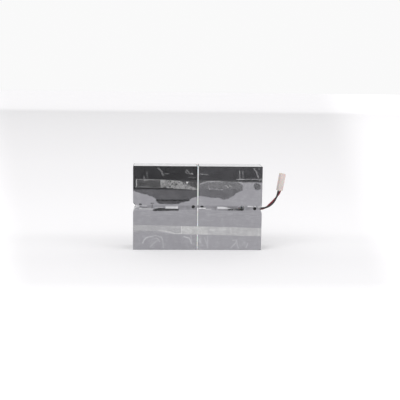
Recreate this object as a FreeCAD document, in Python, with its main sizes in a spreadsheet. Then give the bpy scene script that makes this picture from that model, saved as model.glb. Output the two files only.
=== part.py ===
import FreeCAD, Part
import math
import os
import Sketcher

# A battery cartridge of four sealed lead-acid blocks. Two columns stand side by side, each of
# an upright block with an upside-down block over it. The terminals face each other across a
# channel that holds the wiring, and two leads leave the channel for a two-pole connector.
# X runs along the cartridge, Y from its front face to its back, Z upwards from its underside.

os.makedirs("parts", exist_ok=True)
doc = FreeCAD.newDocument("battery_cartridge")
sizes = doc.addObject("Spreadsheet::Sheet", "Sizes")

DRIVING_SIZES = {
    # Block
    "block_length": 151.0,
    "block_depth": 65.0,
    "block_height": 94.0,
    "corner_radius": 2.0,
    "lid_height": 12.0,
    "lid_corner_chamfer": 6.5,
    "seam_chamfer": 0.5,
    "case_wall": 2.5,
    "case_floor": 2.5,
    "partition_wall": 1.8,
    "cell_count": 6,
    # Vent trough, valves and cover of the lid
    "trough_clearance": 0.5,
    "trough_depth": 15.0,
    "trough_floor": 3.0,
    "cover_rim": 2.0,
    "cover_thickness": 1.5,
    "cover_clearance": 0.2,
    "valve_post_diameter": 7.0,
    "valve_bore": 4.0,
    "valve_post_height": 4.0,
    "valve_cap_wall": 1.0,
    # Plates, straps and terminals
    "plate_clearance": 0.5,
    "lug_width": 6.0,
    "lug_height": 3.5,
    "lug_end_gap": 2.0,
    "strap_height": 6.0,
    "terminal_inset": 18.0,
    "terminal_edge": 10.0,
    "terminal_pin": 5.0,
    "well_width": 14.0,
    "well_depth": 3.0,
    "foot_length": 10.0,
    "foot_width": 8.0,
    "foot_thickness": 1.0,
    "blade_width": 6.35,
    "blade_thickness": 0.8,
    "blade_rise": 6.0,
    "blade_hole": 1.6,
    # Stack of the blocks
    "channel_height": 12.0,
    "column_gap": 3.0,
    # Shrink film round each column
    "film_thickness": 0.3,
    "film_lip": 14.0,
    "film_notch": 26.0,
    "vent_hole": 6.5,
    "vent_hole_inset": 17.4,
    "inner_hole_inset": 8.5,
    "inner_hole_rise": 4.0,
    "left_hole_rise": 9.0,
    # Tape bands round both columns
    "tape_width": 20.0,
    "tape_thickness": 0.25,
    "lower_tape_height": 47.0,
    "upper_tape_drop": 42.9,
    "splice_margin": 0.8,
    "lower_splice_length": 64.0,
    "lower_splice_centre": -7.3,
    "upper_splice_length": 80.0,
    "upper_splice_centre": -47.8,
    # Foam
    "foam_recess": 1.0,
    "foam_end_gap": 1.5,
    "inner_pad_length": 30.0,
    "inner_pad_depth": 20.0,
    "inner_pad_gap": 6.0,
    "inner_pad_margin": 4.5,
    "outer_pad_length": 24.0,
    "outer_pad_depth": 14.0,
    "outer_pad_gap": 0.6,
    # Push-on receptacles and boots
    "receptacle_gap": 0.2,
    "receptacle_width": 7.6,
    "receptacle_thickness": 3.0,
    "receptacle_height": 6.5,
    "barrel_diameter": 3.6,
    "barrel_reach": 10.0,
    "barrel_rise": 3.3,
    "boot_wall": 1.3,
    "boot_crown": 1.4,
    "boot_sleeve_wall": 1.0,
    "boot_overlap": 4.0,
    # Leads
    "lead_diameter": 4.0,
    "sleeve_diameter": 7.5,
    "sleeve_clearance": 0.5,
    "lead_straight": 9.0,
    "lead_inset": 6.1,
    "jumper_straight": 12.0,
    "wire_approach": 4.5,
    # Connector
    "connector_width": 13.0,
    "connector_depth": 10.0,
    "connector_length": 40.7,
    "connector_tilt": 9.0,
    "connector_turn": 30.0,
    "connector_reach": 41.4,
    "connector_rise": 43.4,
    "connector_side": 6.8,
    "contact_pitch": 6.0,
    "wire_entry": 4.4,
    "wire_depth": 3.0,
    "contact_barrel_length": 11.0,
    "contact_tongue_width": 3.6,
    "contact_tongue_thickness": 1.2,
    "contact_recess": 3.5,
    "mating_bore_width": 4.6,
    "mating_bore_depth": 6.4,
    "latch_width": 5.0,
    "latch_thickness": 1.2,
    "latch_gap": 1.0,
    "latch_length": 22.0,
    "latch_foot": 4.0,
    "lock_length": 9.0,
    "lock_height": 3.0,
    "lock_depth": 1.6,
    "lock_stand": 0.5,
}

DERIVED_SIZES = {
    "case_height": "=block_height - lid_height",
    "cell_length": "=(block_length - 2 * case_wall - (cell_count - 1) * partition_wall) / cell_count",
    "cell_depth": "=block_depth - 2 * case_wall",
    "cell_pitch": "=cell_length + partition_wall",
    "first_cell": "=-(cell_count - 1) / 2 * cell_pitch",
    "valve_cap_diameter": "=valve_post_diameter + 2 * valve_cap_wall",
    "trough_length": "=valve_cap_diameter + 2 * trough_clearance - 2 * first_cell",
    "trough_top": "=block_height - cover_thickness",
    "lug_length": "=cell_length - 2 * lug_end_gap",
    "lug_foot": "=strap_foot - lug_height",
    "plate_height": "=lug_foot - case_floor",
    "strap_foot": "=case_height - strap_height",
    "strap_length": "=2 * cell_length + partition_wall - 2 * lug_end_gap",
    "terminal_offset": "=block_length / 2 - terminal_inset",
    "terminal_side": "=block_depth / 2 - terminal_edge",
    "well_floor": "=block_height - well_depth",
    "film_length": "=block_length + 2 * film_thickness",
    "film_depth": "=block_depth + 2 * film_thickness",
    "film_radius": "=corner_radius + film_thickness",
    "pack_height": "=2 * block_height + channel_height + 2 * film_thickness",
    "pack_length": "=2 * film_length + column_gap",
    "column_centre": "=(film_length + column_gap) / 2",
    "lower_lid_top": "=film_thickness + block_height",
    "upper_lid_top": "=lower_lid_top + channel_height",
    "channel_centre": "=lower_lid_top + channel_height / 2",
    "tape_length": "=pack_length + 2 * tape_thickness",
    "tape_depth": "=film_depth + 2 * tape_thickness",
    "tape_radius": "=film_radius + tape_thickness",
    "foam_height": "=block_height - foam_end_gap",
    "foam_depth": "=film_depth - 2 * foam_recess",
    "boot_length": "=receptacle_width + 2 * boot_wall",
    "boot_depth": "=receptacle_thickness + 2 * boot_wall",
    "boot_height": "=receptacle_height + boot_crown",
    "boot_reach": "=barrel_reach + boot_overlap",
    "boot_sleeve": "=lead_diameter + 2 * boot_sleeve_wall",
    "inner_pad_edge": "=column_centre - terminal_offset + boot_length / 2 + inner_pad_gap",
    "inner_pad_inset": "=inner_pad_edge + inner_pad_length / 2",
    "inner_pad_side": "=block_depth / 2 - inner_pad_margin - inner_pad_depth / 2",
    "outer_pad_edge": "=column_centre + terminal_offset - boot_reach - outer_pad_gap",
    "outer_pad_inset": "=outer_pad_edge - outer_pad_length / 2",
    "outer_pad_side": "=outer_pad_gap + outer_pad_depth / 2 + boot_sleeve / 2 - terminal_side",
    "connector_x": "=pack_length / 2 + connector_reach",
    "connector_y": "=-film_depth / 2 + connector_side",
    "connector_z": "=channel_centre + connector_rise",
    "tongue_length": "=connector_length - wire_depth - contact_barrel_length - contact_recess",
    "mating_depth": "=connector_length - wire_depth - contact_barrel_length",
}

row = 1
for alias, content in {**DRIVING_SIZES, **DERIVED_SIZES}.items():
    sizes.set("A%d" % row, alias)
    sizes.set("B%d" % row, str(content))
    sizes.setAlias("B%d" % row, alias)
    row += 1
doc.recompute()


def size(alias):
    return float(sizes.get(alias))


def vector(x, y, z):
    return FreeCAD.Vector(x, y, z)


nodes = []


def place(piece, x="0", y="0", z="0"):
    """Bind the position of a piece to the sheet."""
    piece.setExpression("Placement.Base.x", x)
    piece.setExpression("Placement.Base.y", y)
    piece.setExpression("Placement.Base.z", z)


def new_body(label, stand=None, exported=True):
    """Start a body, standing where the given function puts it."""
    body = doc.addObject("PartDesign::Body", label)
    body.Label = label
    if stand:
        stand(body)
    if exported:
        nodes.append(body)
    return body


def origin_item(body, role):
    return next(item for item in body.Origin.OriginFeatures if item.Role == role)


def new_sketch(body, name, plane, x, y, lift):
    """Attach a sketch to an origin plane of its body, moved along the plane and lifted off it."""
    sketch = body.newObject("Sketcher::SketchObject", name)
    sketch.AttachmentSupport = [(origin_item(body, plane), "")]
    sketch.MapMode = "FlatFace"
    sketch.setExpression("AttachmentOffset.Base.x", x)
    sketch.setExpression("AttachmentOffset.Base.y", y)
    sketch.setExpression("AttachmentOffset.Base.z", lift)
    return sketch


def rectangle(body, name, width, height, plane="XY_Plane", x="0", y="0", lift="0"):
    """Sketch a rectangle with its middle on the sketch's origin."""
    sketch = new_sketch(body, name, plane, x, y, lift)
    corners = [vector(-5, -5, 0), vector(5, -5, 0), vector(5, 5, 0), vector(-5, 5, 0)]
    for i in range(4):
        sketch.addGeometry(Part.LineSegment(corners[i], corners[(i + 1) % 4]), False)
    for i in range(4):
        sketch.addConstraint(Sketcher.Constraint("Coincident", i, 2, (i + 1) % 4, 1))
    sketch.addConstraint(Sketcher.Constraint("Horizontal", 0))
    sketch.addConstraint(Sketcher.Constraint("Horizontal", 2))
    sketch.addConstraint(Sketcher.Constraint("Vertical", 1))
    sketch.addConstraint(Sketcher.Constraint("Vertical", 3))
    sketch.addConstraint(Sketcher.Constraint("Symmetric", 0, 1, 2, 1, -1, 1))
    across = sketch.addConstraint(Sketcher.Constraint("DistanceX", 0, 1, 0, 2, 10))
    rise = sketch.addConstraint(Sketcher.Constraint("DistanceY", 1, 1, 1, 2, 10))
    sketch.setExpression("Constraints[%d]" % across, width)
    sketch.setExpression("Constraints[%d]" % rise, height)
    return sketch


def circle(body, name, diameter, plane="XY_Plane", x="0", y="0", lift="0"):
    """Sketch a circle round the sketch's origin."""
    sketch = new_sketch(body, name, plane, x, y, lift)
    sketch.addGeometry(Part.Circle(vector(0, 0, 0), vector(0, 0, 1), 5), False)
    sketch.addConstraint(Sketcher.Constraint("Coincident", 0, 3, -1, 1))
    across = sketch.addConstraint(Sketcher.Constraint("Diameter", 0, 10))
    sketch.setExpression("Constraints[%d]" % across, diameter)
    return sketch


def pad(body, name, sketch, length):
    feature = body.newObject("PartDesign::Pad", name)
    feature.Profile = sketch
    feature.setExpression("Length", length)
    body.Tip = feature
    return feature


def pocket(body, name, sketch, length, upwards=False):
    """Cut against the sketch's normal, or along it where upwards is set."""
    feature = body.newObject("PartDesign::Pocket", name)
    feature.Profile = sketch
    feature.Reversed = upwards
    feature.setExpression("Length", length)
    body.Tip = feature
    return feature


def row_along_x(body, name, originals, length, count):
    feature = body.newObject("PartDesign::LinearPattern", name)
    feature.Originals = originals
    feature.Direction = (origin_item(body, "X_Axis"), [""])
    feature.setExpression("Length", length)
    feature.setExpression("Occurrences", count)
    body.Tip = feature
    return feature


def edges_where(feature, test):
    """Name the straight or curved edges of a feature whose middle and direction pass a test."""
    doc.recompute()
    names = []
    for i, edge in enumerate(feature.Shape.Edges, 1):
        middle = edge.valueAt((edge.FirstParameter + edge.LastParameter) / 2)
        along = edge.tangentAt((edge.FirstParameter + edge.LastParameter) / 2)
        if test(middle, along):
            names.append("Edge%d" % i)
    return names


def round_edges(body, name, base, test, radius):
    feature = body.newObject("PartDesign::Fillet", name)
    feature.Base = (base, edges_where(base, test))
    feature.setExpression("Radius", radius)
    body.Tip = feature
    return feature


def bevel_edges(body, name, base, test, size_formula):
    feature = body.newObject("PartDesign::Chamfer", name)
    feature.Base = (base, edges_where(base, test))
    feature.setExpression("Size", size_formula)
    body.Tip = feature
    return feature


def upright(middle, along):
    return abs(along.z) > 0.999


def round_shell(body, label, hollow, half_inside, inside_radius, outside_radius):
    """Round the upright edges of a thin shell, those of its hollow first."""
    inner = round_edges(
        body,
        label + "_inside_corners",
        hollow,
        lambda middle, along: upright(middle, along) and abs(middle.x) < half_inside + 0.01,
        inside_radius,
    )
    return round_edges(
        body,
        label + "_outside_corners",
        inner,
        lambda middle, along: upright(middle, along)
        and abs(middle.x) > half_inside + size("tape_thickness") / 2,
        outside_radius,
    )


def block_stand(side, upper):
    """Return the function that stands a piece of a block in its column and row."""

    def stand(piece):
        if upper:
            piece.Placement = FreeCAD.Placement(
                vector(0, 0, 0), FreeCAD.Rotation(vector(1, 0, 0), 180)
            )
        height = "Sizes.pack_height - Sizes.film_thickness" if upper else "Sizes.film_thickness"
        place(piece, "%d * Sizes.column_centre" % side, "0", height)

    return stand


# Blocks, drawn upright with the middle of the underside at the origin

STRAP_ROWS = (
    ("back", "Sizes.terminal_side", "0.5 * Sizes.cell_pitch", "Sizes.cell_count / 2"),
    ("front", "-Sizes.terminal_side", "1.5 * Sizes.cell_pitch", "Sizes.cell_count / 2 - 1"),
)


def block_case(label, stand):
    body = new_body(label, stand)
    outline = rectangle(body, label + "_outline", "Sizes.block_length", "Sizes.block_depth")
    walls = pad(body, label + "_walls", outline, "Sizes.case_height")
    rounded = round_edges(body, label + "_corners", walls, upright, "Sizes.corner_radius")
    top = size("case_height")
    seam = bevel_edges(
        body,
        label + "_seam",
        rounded,
        lambda middle, along: abs(middle.z - top) < 0.01,
        "Sizes.seam_chamfer",
    )
    cell_outline = rectangle(
        body,
        label + "_cell_outline",
        "Sizes.cell_length",
        "Sizes.cell_depth",
        x="Sizes.first_cell",
        lift="Sizes.case_height",
    )
    cell = pocket(
        body, label + "_cell", cell_outline, "Sizes.case_height - Sizes.case_floor"
    )
    row_along_x(
        body,
        label + "_cells",
        [cell],
        "(Sizes.cell_count - 1) * Sizes.cell_pitch",
        "Sizes.cell_count",
    )
    for name, side, shift, count in STRAP_ROWS:
        notch_outline = rectangle(
            body,
            label + "_" + name + "_notch_outline",
            "Sizes.strap_length",
            "Sizes.lug_width",
            x="Sizes.first_cell + " + shift,
            y=side,
            lift="Sizes.case_height",
        )
        notch = pocket(
            body, label + "_" + name + "_notch", notch_outline, "Sizes.strap_height"
        )
        row_along_x(
            body,
            label + "_" + name + "_notches",
            [notch],
            "2 * (%s - 1) * Sizes.cell_pitch" % count,
            count,
        )
    return body


def block_lid(label, stand):
    body = new_body(label, stand)
    half = size("block_length") / 2
    top = size("block_height")
    outline = rectangle(
        body,
        label + "_outline",
        "Sizes.block_length",
        "Sizes.block_depth",
        lift="Sizes.case_height",
    )
    slab = pad(body, label + "_slab", outline, "Sizes.lid_height")
    bevelled = bevel_edges(
        body,
        label + "_end_bevels",
        slab,
        lambda middle, along: abs(abs(middle.x) - half) < 0.01 and abs(middle.z - top) < 0.01,
        "Sizes.lid_corner_chamfer",
    )
    round_edges(body, label + "_corners", bevelled, upright, "Sizes.corner_radius")
    trough_outline = rectangle(
        body,
        label + "_trough_outline",
        "Sizes.trough_length",
        "Sizes.trough_depth",
        lift="Sizes.block_height",
    )
    pocket(
        body, label + "_trough", trough_outline, "Sizes.lid_height - Sizes.trough_floor"
    )
    seat_outline = rectangle(
        body,
        label + "_cover_seat_outline",
        "Sizes.trough_length + 2 * Sizes.cover_rim",
        "Sizes.trough_depth + 2 * Sizes.cover_rim",
        lift="Sizes.block_height",
    )
    pocket(body, label + "_cover_seat", seat_outline, "Sizes.cover_thickness")
    post_outline = circle(
        body,
        label + "_post_outline",
        "Sizes.valve_post_diameter",
        x="Sizes.first_cell",
        lift="Sizes.case_height + Sizes.trough_floor",
    )
    post = pad(body, label + "_post", post_outline, "Sizes.valve_post_height")
    row_along_x(
        body,
        label + "_posts",
        [post],
        "(Sizes.cell_count - 1) * Sizes.cell_pitch",
        "Sizes.cell_count",
    )
    bore_outline = circle(
        body,
        label + "_bore_outline",
        "Sizes.valve_bore",
        x="Sizes.first_cell",
        lift="Sizes.case_height + Sizes.trough_floor + Sizes.valve_post_height",
    )
    bore = pocket(
        body, label + "_bore", bore_outline, "Sizes.trough_floor + Sizes.valve_post_height"
    )
    row_along_x(
        body,
        label + "_bores",
        [bore],
        "(Sizes.cell_count - 1) * Sizes.cell_pitch",
        "Sizes.cell_count",
    )
    for name, sign in (("negative", "-"), ("positive", "")):
        well_outline = rectangle(
            body,
            label + "_" + name + "_well_outline",
            "Sizes.well_width",
            "Sizes.well_width",
            x=sign + "Sizes.terminal_offset",
            y="-Sizes.terminal_side",
            lift="Sizes.block_height",
        )
        pocket(body, label + "_" + name + "_well", well_outline, "Sizes.well_depth")
        pin_outline = circle(
            body,
            label + "_" + name + "_pin_outline",
            "Sizes.terminal_pin",
            x=sign + "Sizes.terminal_offset",
            y="-Sizes.terminal_side",
            lift="Sizes.block_height",
        )
        pocket(body, label + "_" + name + "_pin_hole", pin_outline, "Sizes.lid_height")
    return body


def vent_cover(label, stand):
    body = new_body(label, stand)
    outline = rectangle(
        body,
        label + "_outline",
        "Sizes.trough_length + 2 * Sizes.cover_rim - 2 * Sizes.cover_clearance",
        "Sizes.trough_depth + 2 * Sizes.cover_rim - 2 * Sizes.cover_clearance",
        lift="Sizes.trough_top",
    )
    plate = pad(body, label + "_plate", outline, "Sizes.cover_thickness")
    round_edges(body, label + "_corners", plate, upright, "Sizes.cover_thickness")
    return body


def valve_caps(label, stand):
    """Make the rubber caps that close the valve posts, one over each cell."""
    body = new_body(label, stand)
    body.AllowCompound = True
    foot = "Sizes.case_height + Sizes.trough_floor"
    cap_outline = circle(
        body,
        label + "_cap_outline",
        "Sizes.valve_cap_diameter",
        x="Sizes.first_cell",
        lift=foot,
    )
    cap = pad(
        body, label + "_cap", cap_outline, "Sizes.valve_post_height + Sizes.valve_cap_wall"
    )
    bore_outline = circle(
        body,
        label + "_bore_outline",
        "Sizes.valve_post_diameter",
        x="Sizes.first_cell",
        lift=foot,
    )
    bore = pocket(
        body, label + "_bore", bore_outline, "Sizes.valve_post_height", upwards=True
    )
    row_along_x(
        body,
        label + "_row",
        [cap, bore],
        "(Sizes.cell_count - 1) * Sizes.cell_pitch",
        "Sizes.cell_count",
    )
    return body


def plate_stacks(label, stand):
    """Make the stack of plates and separators of each cell, with its two rows of lugs."""
    body = new_body(label, stand)
    body.AllowCompound = True
    stack_outline = rectangle(
        body,
        label + "_stack_outline",
        "Sizes.cell_length - 2 * Sizes.plate_clearance",
        "Sizes.cell_depth - 2 * Sizes.plate_clearance",
        x="Sizes.first_cell",
        lift="Sizes.case_floor",
    )
    stack = pad(body, label + "_stack", stack_outline, "Sizes.plate_height")
    lugs = []
    for name, side in (("back", ""), ("front", "-")):
        lug_outline = rectangle(
            body,
            label + "_" + name + "_lug_outline",
            "Sizes.lug_length",
            "Sizes.lug_width",
            x="Sizes.first_cell",
            y=side + "Sizes.terminal_side",
            lift="Sizes.lug_foot",
        )
        lugs.append(pad(body, label + "_" + name + "_lugs", lug_outline, "Sizes.lug_height"))
    row_along_x(
        body,
        label + "_row",
        [stack] + lugs,
        "(Sizes.cell_count - 1) * Sizes.cell_pitch",
        "Sizes.cell_count",
    )
    return body


def cell_straps(label, stand):
    """Make the lead straps that join neighbouring cells and carry the two terminals."""
    body = new_body(label, stand)
    body.AllowCompound = True
    for name, side, shift, count in STRAP_ROWS:
        outline = rectangle(
            body,
            label + "_" + name + "_outline",
            "Sizes.strap_length",
            "Sizes.lug_width",
            x="Sizes.first_cell + " + shift,
            y=side,
            lift="Sizes.strap_foot",
        )
        strap = pad(body, label + "_" + name + "_strap", outline, "Sizes.strap_height")
        row_along_x(
            body,
            label + "_" + name + "_row",
            [strap],
            "2 * (%s - 1) * Sizes.cell_pitch" % count,
            count,
        )
    for name, sign in (("negative", ""), ("positive", "-")):
        outline = rectangle(
            body,
            label + "_" + name + "_outline",
            "Sizes.lug_length",
            "Sizes.lug_width",
            x=sign + "Sizes.first_cell",
            y="-Sizes.terminal_side",
            lift="Sizes.strap_foot",
        )
        pad(body, label + "_" + name + "_strap", outline, "Sizes.strap_height")
    return body


def terminal(label, stand, sign):
    """Make a blade tab on its foot, with the pin that goes down through the lid to the strap."""
    body = new_body(label, stand)
    x = sign + "Sizes.terminal_offset"
    y = "-Sizes.terminal_side"
    foot_outline = rectangle(
        body,
        label + "_foot_outline",
        "Sizes.foot_length",
        "Sizes.foot_width",
        x=x,
        y=y,
        lift="Sizes.well_floor",
    )
    pad(body, label + "_foot", foot_outline, "Sizes.foot_thickness")
    pin_outline = circle(
        body, label + "_pin_outline", "Sizes.terminal_pin", x=x, y=y, lift="Sizes.case_height"
    )
    pad(body, label + "_pin", pin_outline, "Sizes.well_floor - Sizes.case_height")
    blade_outline = rectangle(
        body,
        label + "_blade_outline",
        "Sizes.blade_width",
        "Sizes.blade_thickness",
        x=x,
        y=y,
        lift="Sizes.well_floor",
    )
    pad(body, label + "_blade", blade_outline, "Sizes.well_depth + Sizes.blade_rise")
    hole_outline = circle(
        body,
        label + "_hole_outline",
        "Sizes.blade_hole",
        plane="XZ_Plane",
        x=x,
        y="Sizes.block_height + Sizes.blade_rise / 2",
        lift="Sizes.terminal_side + Sizes.blade_thickness",
    )
    pocket(body, label + "_hole", hole_outline, "2 * Sizes.blade_thickness")
    return body


for block, side, upper in (
    ("lower_left", -1, False),
    ("lower_right", 1, False),
    ("upper_left", -1, True),
    ("upper_right", 1, True),
):
    stand = block_stand(side, upper)
    block_case(block + "_case", stand)
    block_lid(block + "_lid", stand)
    vent_cover(block + "_vent_cover", stand)
    valve_caps(block + "_valve_caps", stand)
    plate_stacks(block + "_plate_stacks", stand)
    cell_straps(block + "_cell_straps", stand)
    terminal(block + "_terminal_negative", stand, "-")
    terminal(block + "_terminal_positive", stand, "")


# Shrink film, drawn round a column with the middle of its underside at the origin


def shrink_film(label, side, outer_rise):
    body = new_body(label, lambda piece: place(piece, "%d * Sizes.column_centre" % side))
    outline = rectangle(body, label + "_outline", "Sizes.film_length", "Sizes.film_depth")
    pad(body, label + "_outside", outline, "Sizes.pack_height")
    hollow_outline = rectangle(
        body,
        label + "_hollow_outline",
        "Sizes.block_length",
        "Sizes.block_depth",
        lift="Sizes.film_thickness",
    )
    hollow = pocket(
        body,
        label + "_hollow",
        hollow_outline,
        "Sizes.pack_height - 2 * Sizes.film_thickness",
        upwards=True,
    )
    round_shell(
        body,
        label,
        hollow,
        size("block_length") / 2,
        "Sizes.corner_radius",
        "Sizes.film_radius",
    )
    for name, width, height in (
        (
            "end_opening",
            "Sizes.film_depth - 2 * Sizes.film_lip",
            "Sizes.pack_height - 2 * Sizes.film_lip",
        ),
        ("channel_notch", "Sizes.block_depth - 2 * Sizes.corner_radius", "Sizes.film_notch"),
    ):
        opening_outline = rectangle(
            body,
            label + "_" + name + "_outline",
            width,
            height,
            plane="YZ_Plane",
            y="Sizes.channel_centre",
            lift="Sizes.film_length / 2",
        )
        pocket(body, label + "_" + name, opening_outline, "Sizes.film_length")
    for name, inset, rise, direction in (
        ("outer_hole", "Sizes.vent_hole_inset", outer_rise, side),
        ("inner_hole", "Sizes.inner_hole_inset", "Sizes.inner_hole_rise", -side),
    ):
        hole_outline = circle(
            body,
            label + "_" + name + "_outline",
            "Sizes.vent_hole",
            plane="XZ_Plane",
            x="%d * (Sizes.film_length / 2 - %s)" % (direction, inset),
            y="Sizes.channel_centre + " + rise,
            lift="Sizes.film_depth / 2",
        )
        pocket(body, label + "_" + name, hole_outline, "Sizes.film_depth")
    return body


shrink_film("film_left", -1, "Sizes.left_hole_rise")
shrink_film("film_right", 1, "0")


# Tape bands, drawn as closed loops with an overlapped end on the front face


def tape_band(label, foot, splice_centre, splice_length):
    body = new_body(label, lambda piece: place(piece, "0", "0", foot))
    outline = rectangle(body, label + "_outline", "Sizes.tape_length", "Sizes.tape_depth")
    pad(body, label + "_outside", outline, "Sizes.tape_width")
    inside_outline = rectangle(
        body,
        label + "_inside_outline",
        "Sizes.pack_length",
        "Sizes.film_depth",
        lift="Sizes.tape_width",
    )
    inside = pocket(body, label + "_inside", inside_outline, "Sizes.tape_width")
    round_shell(
        body,
        label,
        inside,
        size("pack_length") / 2,
        "Sizes.film_radius",
        "Sizes.tape_radius",
    )
    splice_outline = rectangle(
        body,
        label + "_splice_outline",
        splice_length,
        "Sizes.tape_width - 2 * Sizes.splice_margin",
        plane="XZ_Plane",
        x=splice_centre,
        y="Sizes.tape_width / 2",
        lift="Sizes.tape_depth / 2",
    )
    pad(body, label + "_splice", splice_outline, "Sizes.tape_thickness")
    return body


tape_band(
    "tape_lower",
    "Sizes.lower_tape_height - Sizes.tape_width / 2",
    "Sizes.lower_splice_centre",
    "Sizes.lower_splice_length",
)
tape_band(
    "tape_upper",
    "Sizes.pack_height - Sizes.upper_tape_drop - Sizes.tape_width / 2",
    "Sizes.upper_splice_centre",
    "Sizes.upper_splice_length",
)


# Foam between the columns and in the channel


def foam_spacer(label, foot):
    body = new_body(label, lambda piece: place(piece, "0", "0", foot))
    outline = rectangle(body, label + "_outline", "Sizes.column_gap", "Sizes.foam_depth")
    pad(body, label + "_slab", outline, "Sizes.foam_height")
    return body


foam_spacer("foam_lower", "Sizes.foam_end_gap")
foam_spacer("foam_upper", "Sizes.pack_height - Sizes.foam_end_gap - Sizes.foam_height")


def channel_pads(label, side):
    """Make the two foam pads that keep the lids of a column apart."""
    body = new_body(label, lambda piece: place(piece, z="Sizes.lower_lid_top"))
    body.AllowCompound = True
    for name in ("inner", "outer"):
        outline = rectangle(
            body,
            label + "_" + name + "_outline",
            "Sizes.%s_pad_length" % name,
            "Sizes.%s_pad_depth" % name,
            x="%d * Sizes.%s_pad_inset" % (side, name),
            y="Sizes.%s_pad_side" % name,
        )
        pad(body, label + "_" + name, outline, "Sizes.channel_height")
    return body


channel_pads("channel_pads_left", -1)
channel_pads("channel_pads_right", 1)


# Push-on receptacle and boot, drawn with the blade's middle at the lid's top face as origin

receptacle = new_body("flag_receptacle", exported=False)
receptacle_outline = rectangle(
    receptacle,
    "receptacle_outline",
    "Sizes.receptacle_width",
    "Sizes.receptacle_thickness",
    lift="Sizes.receptacle_gap",
)
pad(receptacle, "receptacle_grip", receptacle_outline, "Sizes.receptacle_height")
barrel_outline = circle(
    receptacle,
    "barrel_outline",
    "Sizes.barrel_diameter",
    plane="YZ_Plane",
    y="Sizes.barrel_rise",
    lift="Sizes.blade_width / 2",
)
pad(receptacle, "barrel", barrel_outline, "Sizes.barrel_reach - Sizes.blade_width / 2")
slot_outline = rectangle(
    receptacle,
    "slot_outline",
    "Sizes.blade_width",
    "Sizes.blade_thickness",
    lift="Sizes.receptacle_gap + Sizes.receptacle_height",
)
pocket(receptacle, "slot", slot_outline, "Sizes.receptacle_height")

boot = new_body("terminal_boot", exported=False)
boot_outline = rectangle(
    boot, "boot_outline", "Sizes.boot_length", "Sizes.boot_depth", lift="Sizes.receptacle_gap"
)
boot_block = pad(boot, "boot_block", boot_outline, "Sizes.boot_height")
round_edges(boot, "boot_corners", boot_block, upright, "Sizes.boot_wall")
sleeve_outline = circle(
    boot, "boot_sleeve_outline", "Sizes.boot_sleeve", plane="YZ_Plane", y="Sizes.barrel_rise"
)
pad(boot, "boot_sleeve", sleeve_outline, "Sizes.boot_reach")
boot_bore_outline = circle(
    boot,
    "boot_bore_outline",
    "Sizes.lead_diameter",
    plane="YZ_Plane",
    y="Sizes.barrel_rise",
    lift="Sizes.boot_reach",
)
pocket(boot, "boot_bore", boot_bore_outline, "Sizes.boot_reach")
grip_outline = rectangle(
    boot,
    "grip_outline",
    "Sizes.receptacle_width",
    "Sizes.receptacle_thickness",
    lift="Sizes.receptacle_gap",
)
pocket(boot, "grip_cavity", grip_outline, "Sizes.receptacle_height", upwards=True)


def terminal_group(label, master, upper, directions):
    """Set a copy of a piece on each of the four terminals of a row, its barrel turned as given."""
    copies = []
    for i, (column, terminal_sign) in enumerate(((-1, -1), (-1, 1), (1, -1), (1, 1))):
        copy = doc.addObject("App::Link", "%s_%d" % (label, i + 1))
        copy.LinkedObject = master
        turn = FreeCAD.Rotation(vector(0, 0, 1), 0 if directions[i] > 0 else 180)
        if upper:
            turn = FreeCAD.Rotation(vector(1, 0, 0), 180).multiply(turn)
        copy.LinkPlacement = FreeCAD.Placement(vector(0, 0, 0), turn)
        copy.setExpression(
            "LinkPlacement.Base.x",
            "%d * Sizes.column_centre + %d * Sizes.terminal_offset" % (column, terminal_sign),
        )
        copy.setExpression(
            "LinkPlacement.Base.y", "Sizes.terminal_side" if upper else "-Sizes.terminal_side"
        )
        copy.setExpression(
            "LinkPlacement.Base.z", "Sizes.upper_lid_top" if upper else "Sizes.lower_lid_top"
        )
        copies.append(copy)
    group = doc.addObject("Part::Compound", label)
    group.Label = label
    group.Links = copies
    nodes.append(group)


FRONT_BARRELS = (1, -1, 1, 1)
BACK_BARRELS = (1, 1, -1, -1)
terminal_group("receptacles_front", receptacle, False, FRONT_BARRELS)
terminal_group("receptacles_back", receptacle, True, BACK_BARRELS)
terminal_group("boots_front", boot, False, FRONT_BARRELS)
terminal_group("boots_back", boot, True, BACK_BARRELS)


# Connector, drawn upright with the middle of its wire end at the origin


def connector_turn():
    lean = FreeCAD.Rotation(vector(0, 1, 0), size("connector_tilt"))
    return lean.multiply(FreeCAD.Rotation(vector(0, 0, 1), size("connector_turn")))


def connector_point(x, y, z):
    """Give a point of the connector in the frame of the cartridge."""
    base = vector(size("connector_x"), size("connector_y"), size("connector_z"))
    return base + connector_turn().multVec(vector(x, y, z))


def stand_on_leads(piece):
    piece.Placement = FreeCAD.Placement(vector(0, 0, 0), connector_turn())
    place(piece, "Sizes.connector_x", "Sizes.connector_y", "Sizes.connector_z")


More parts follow.
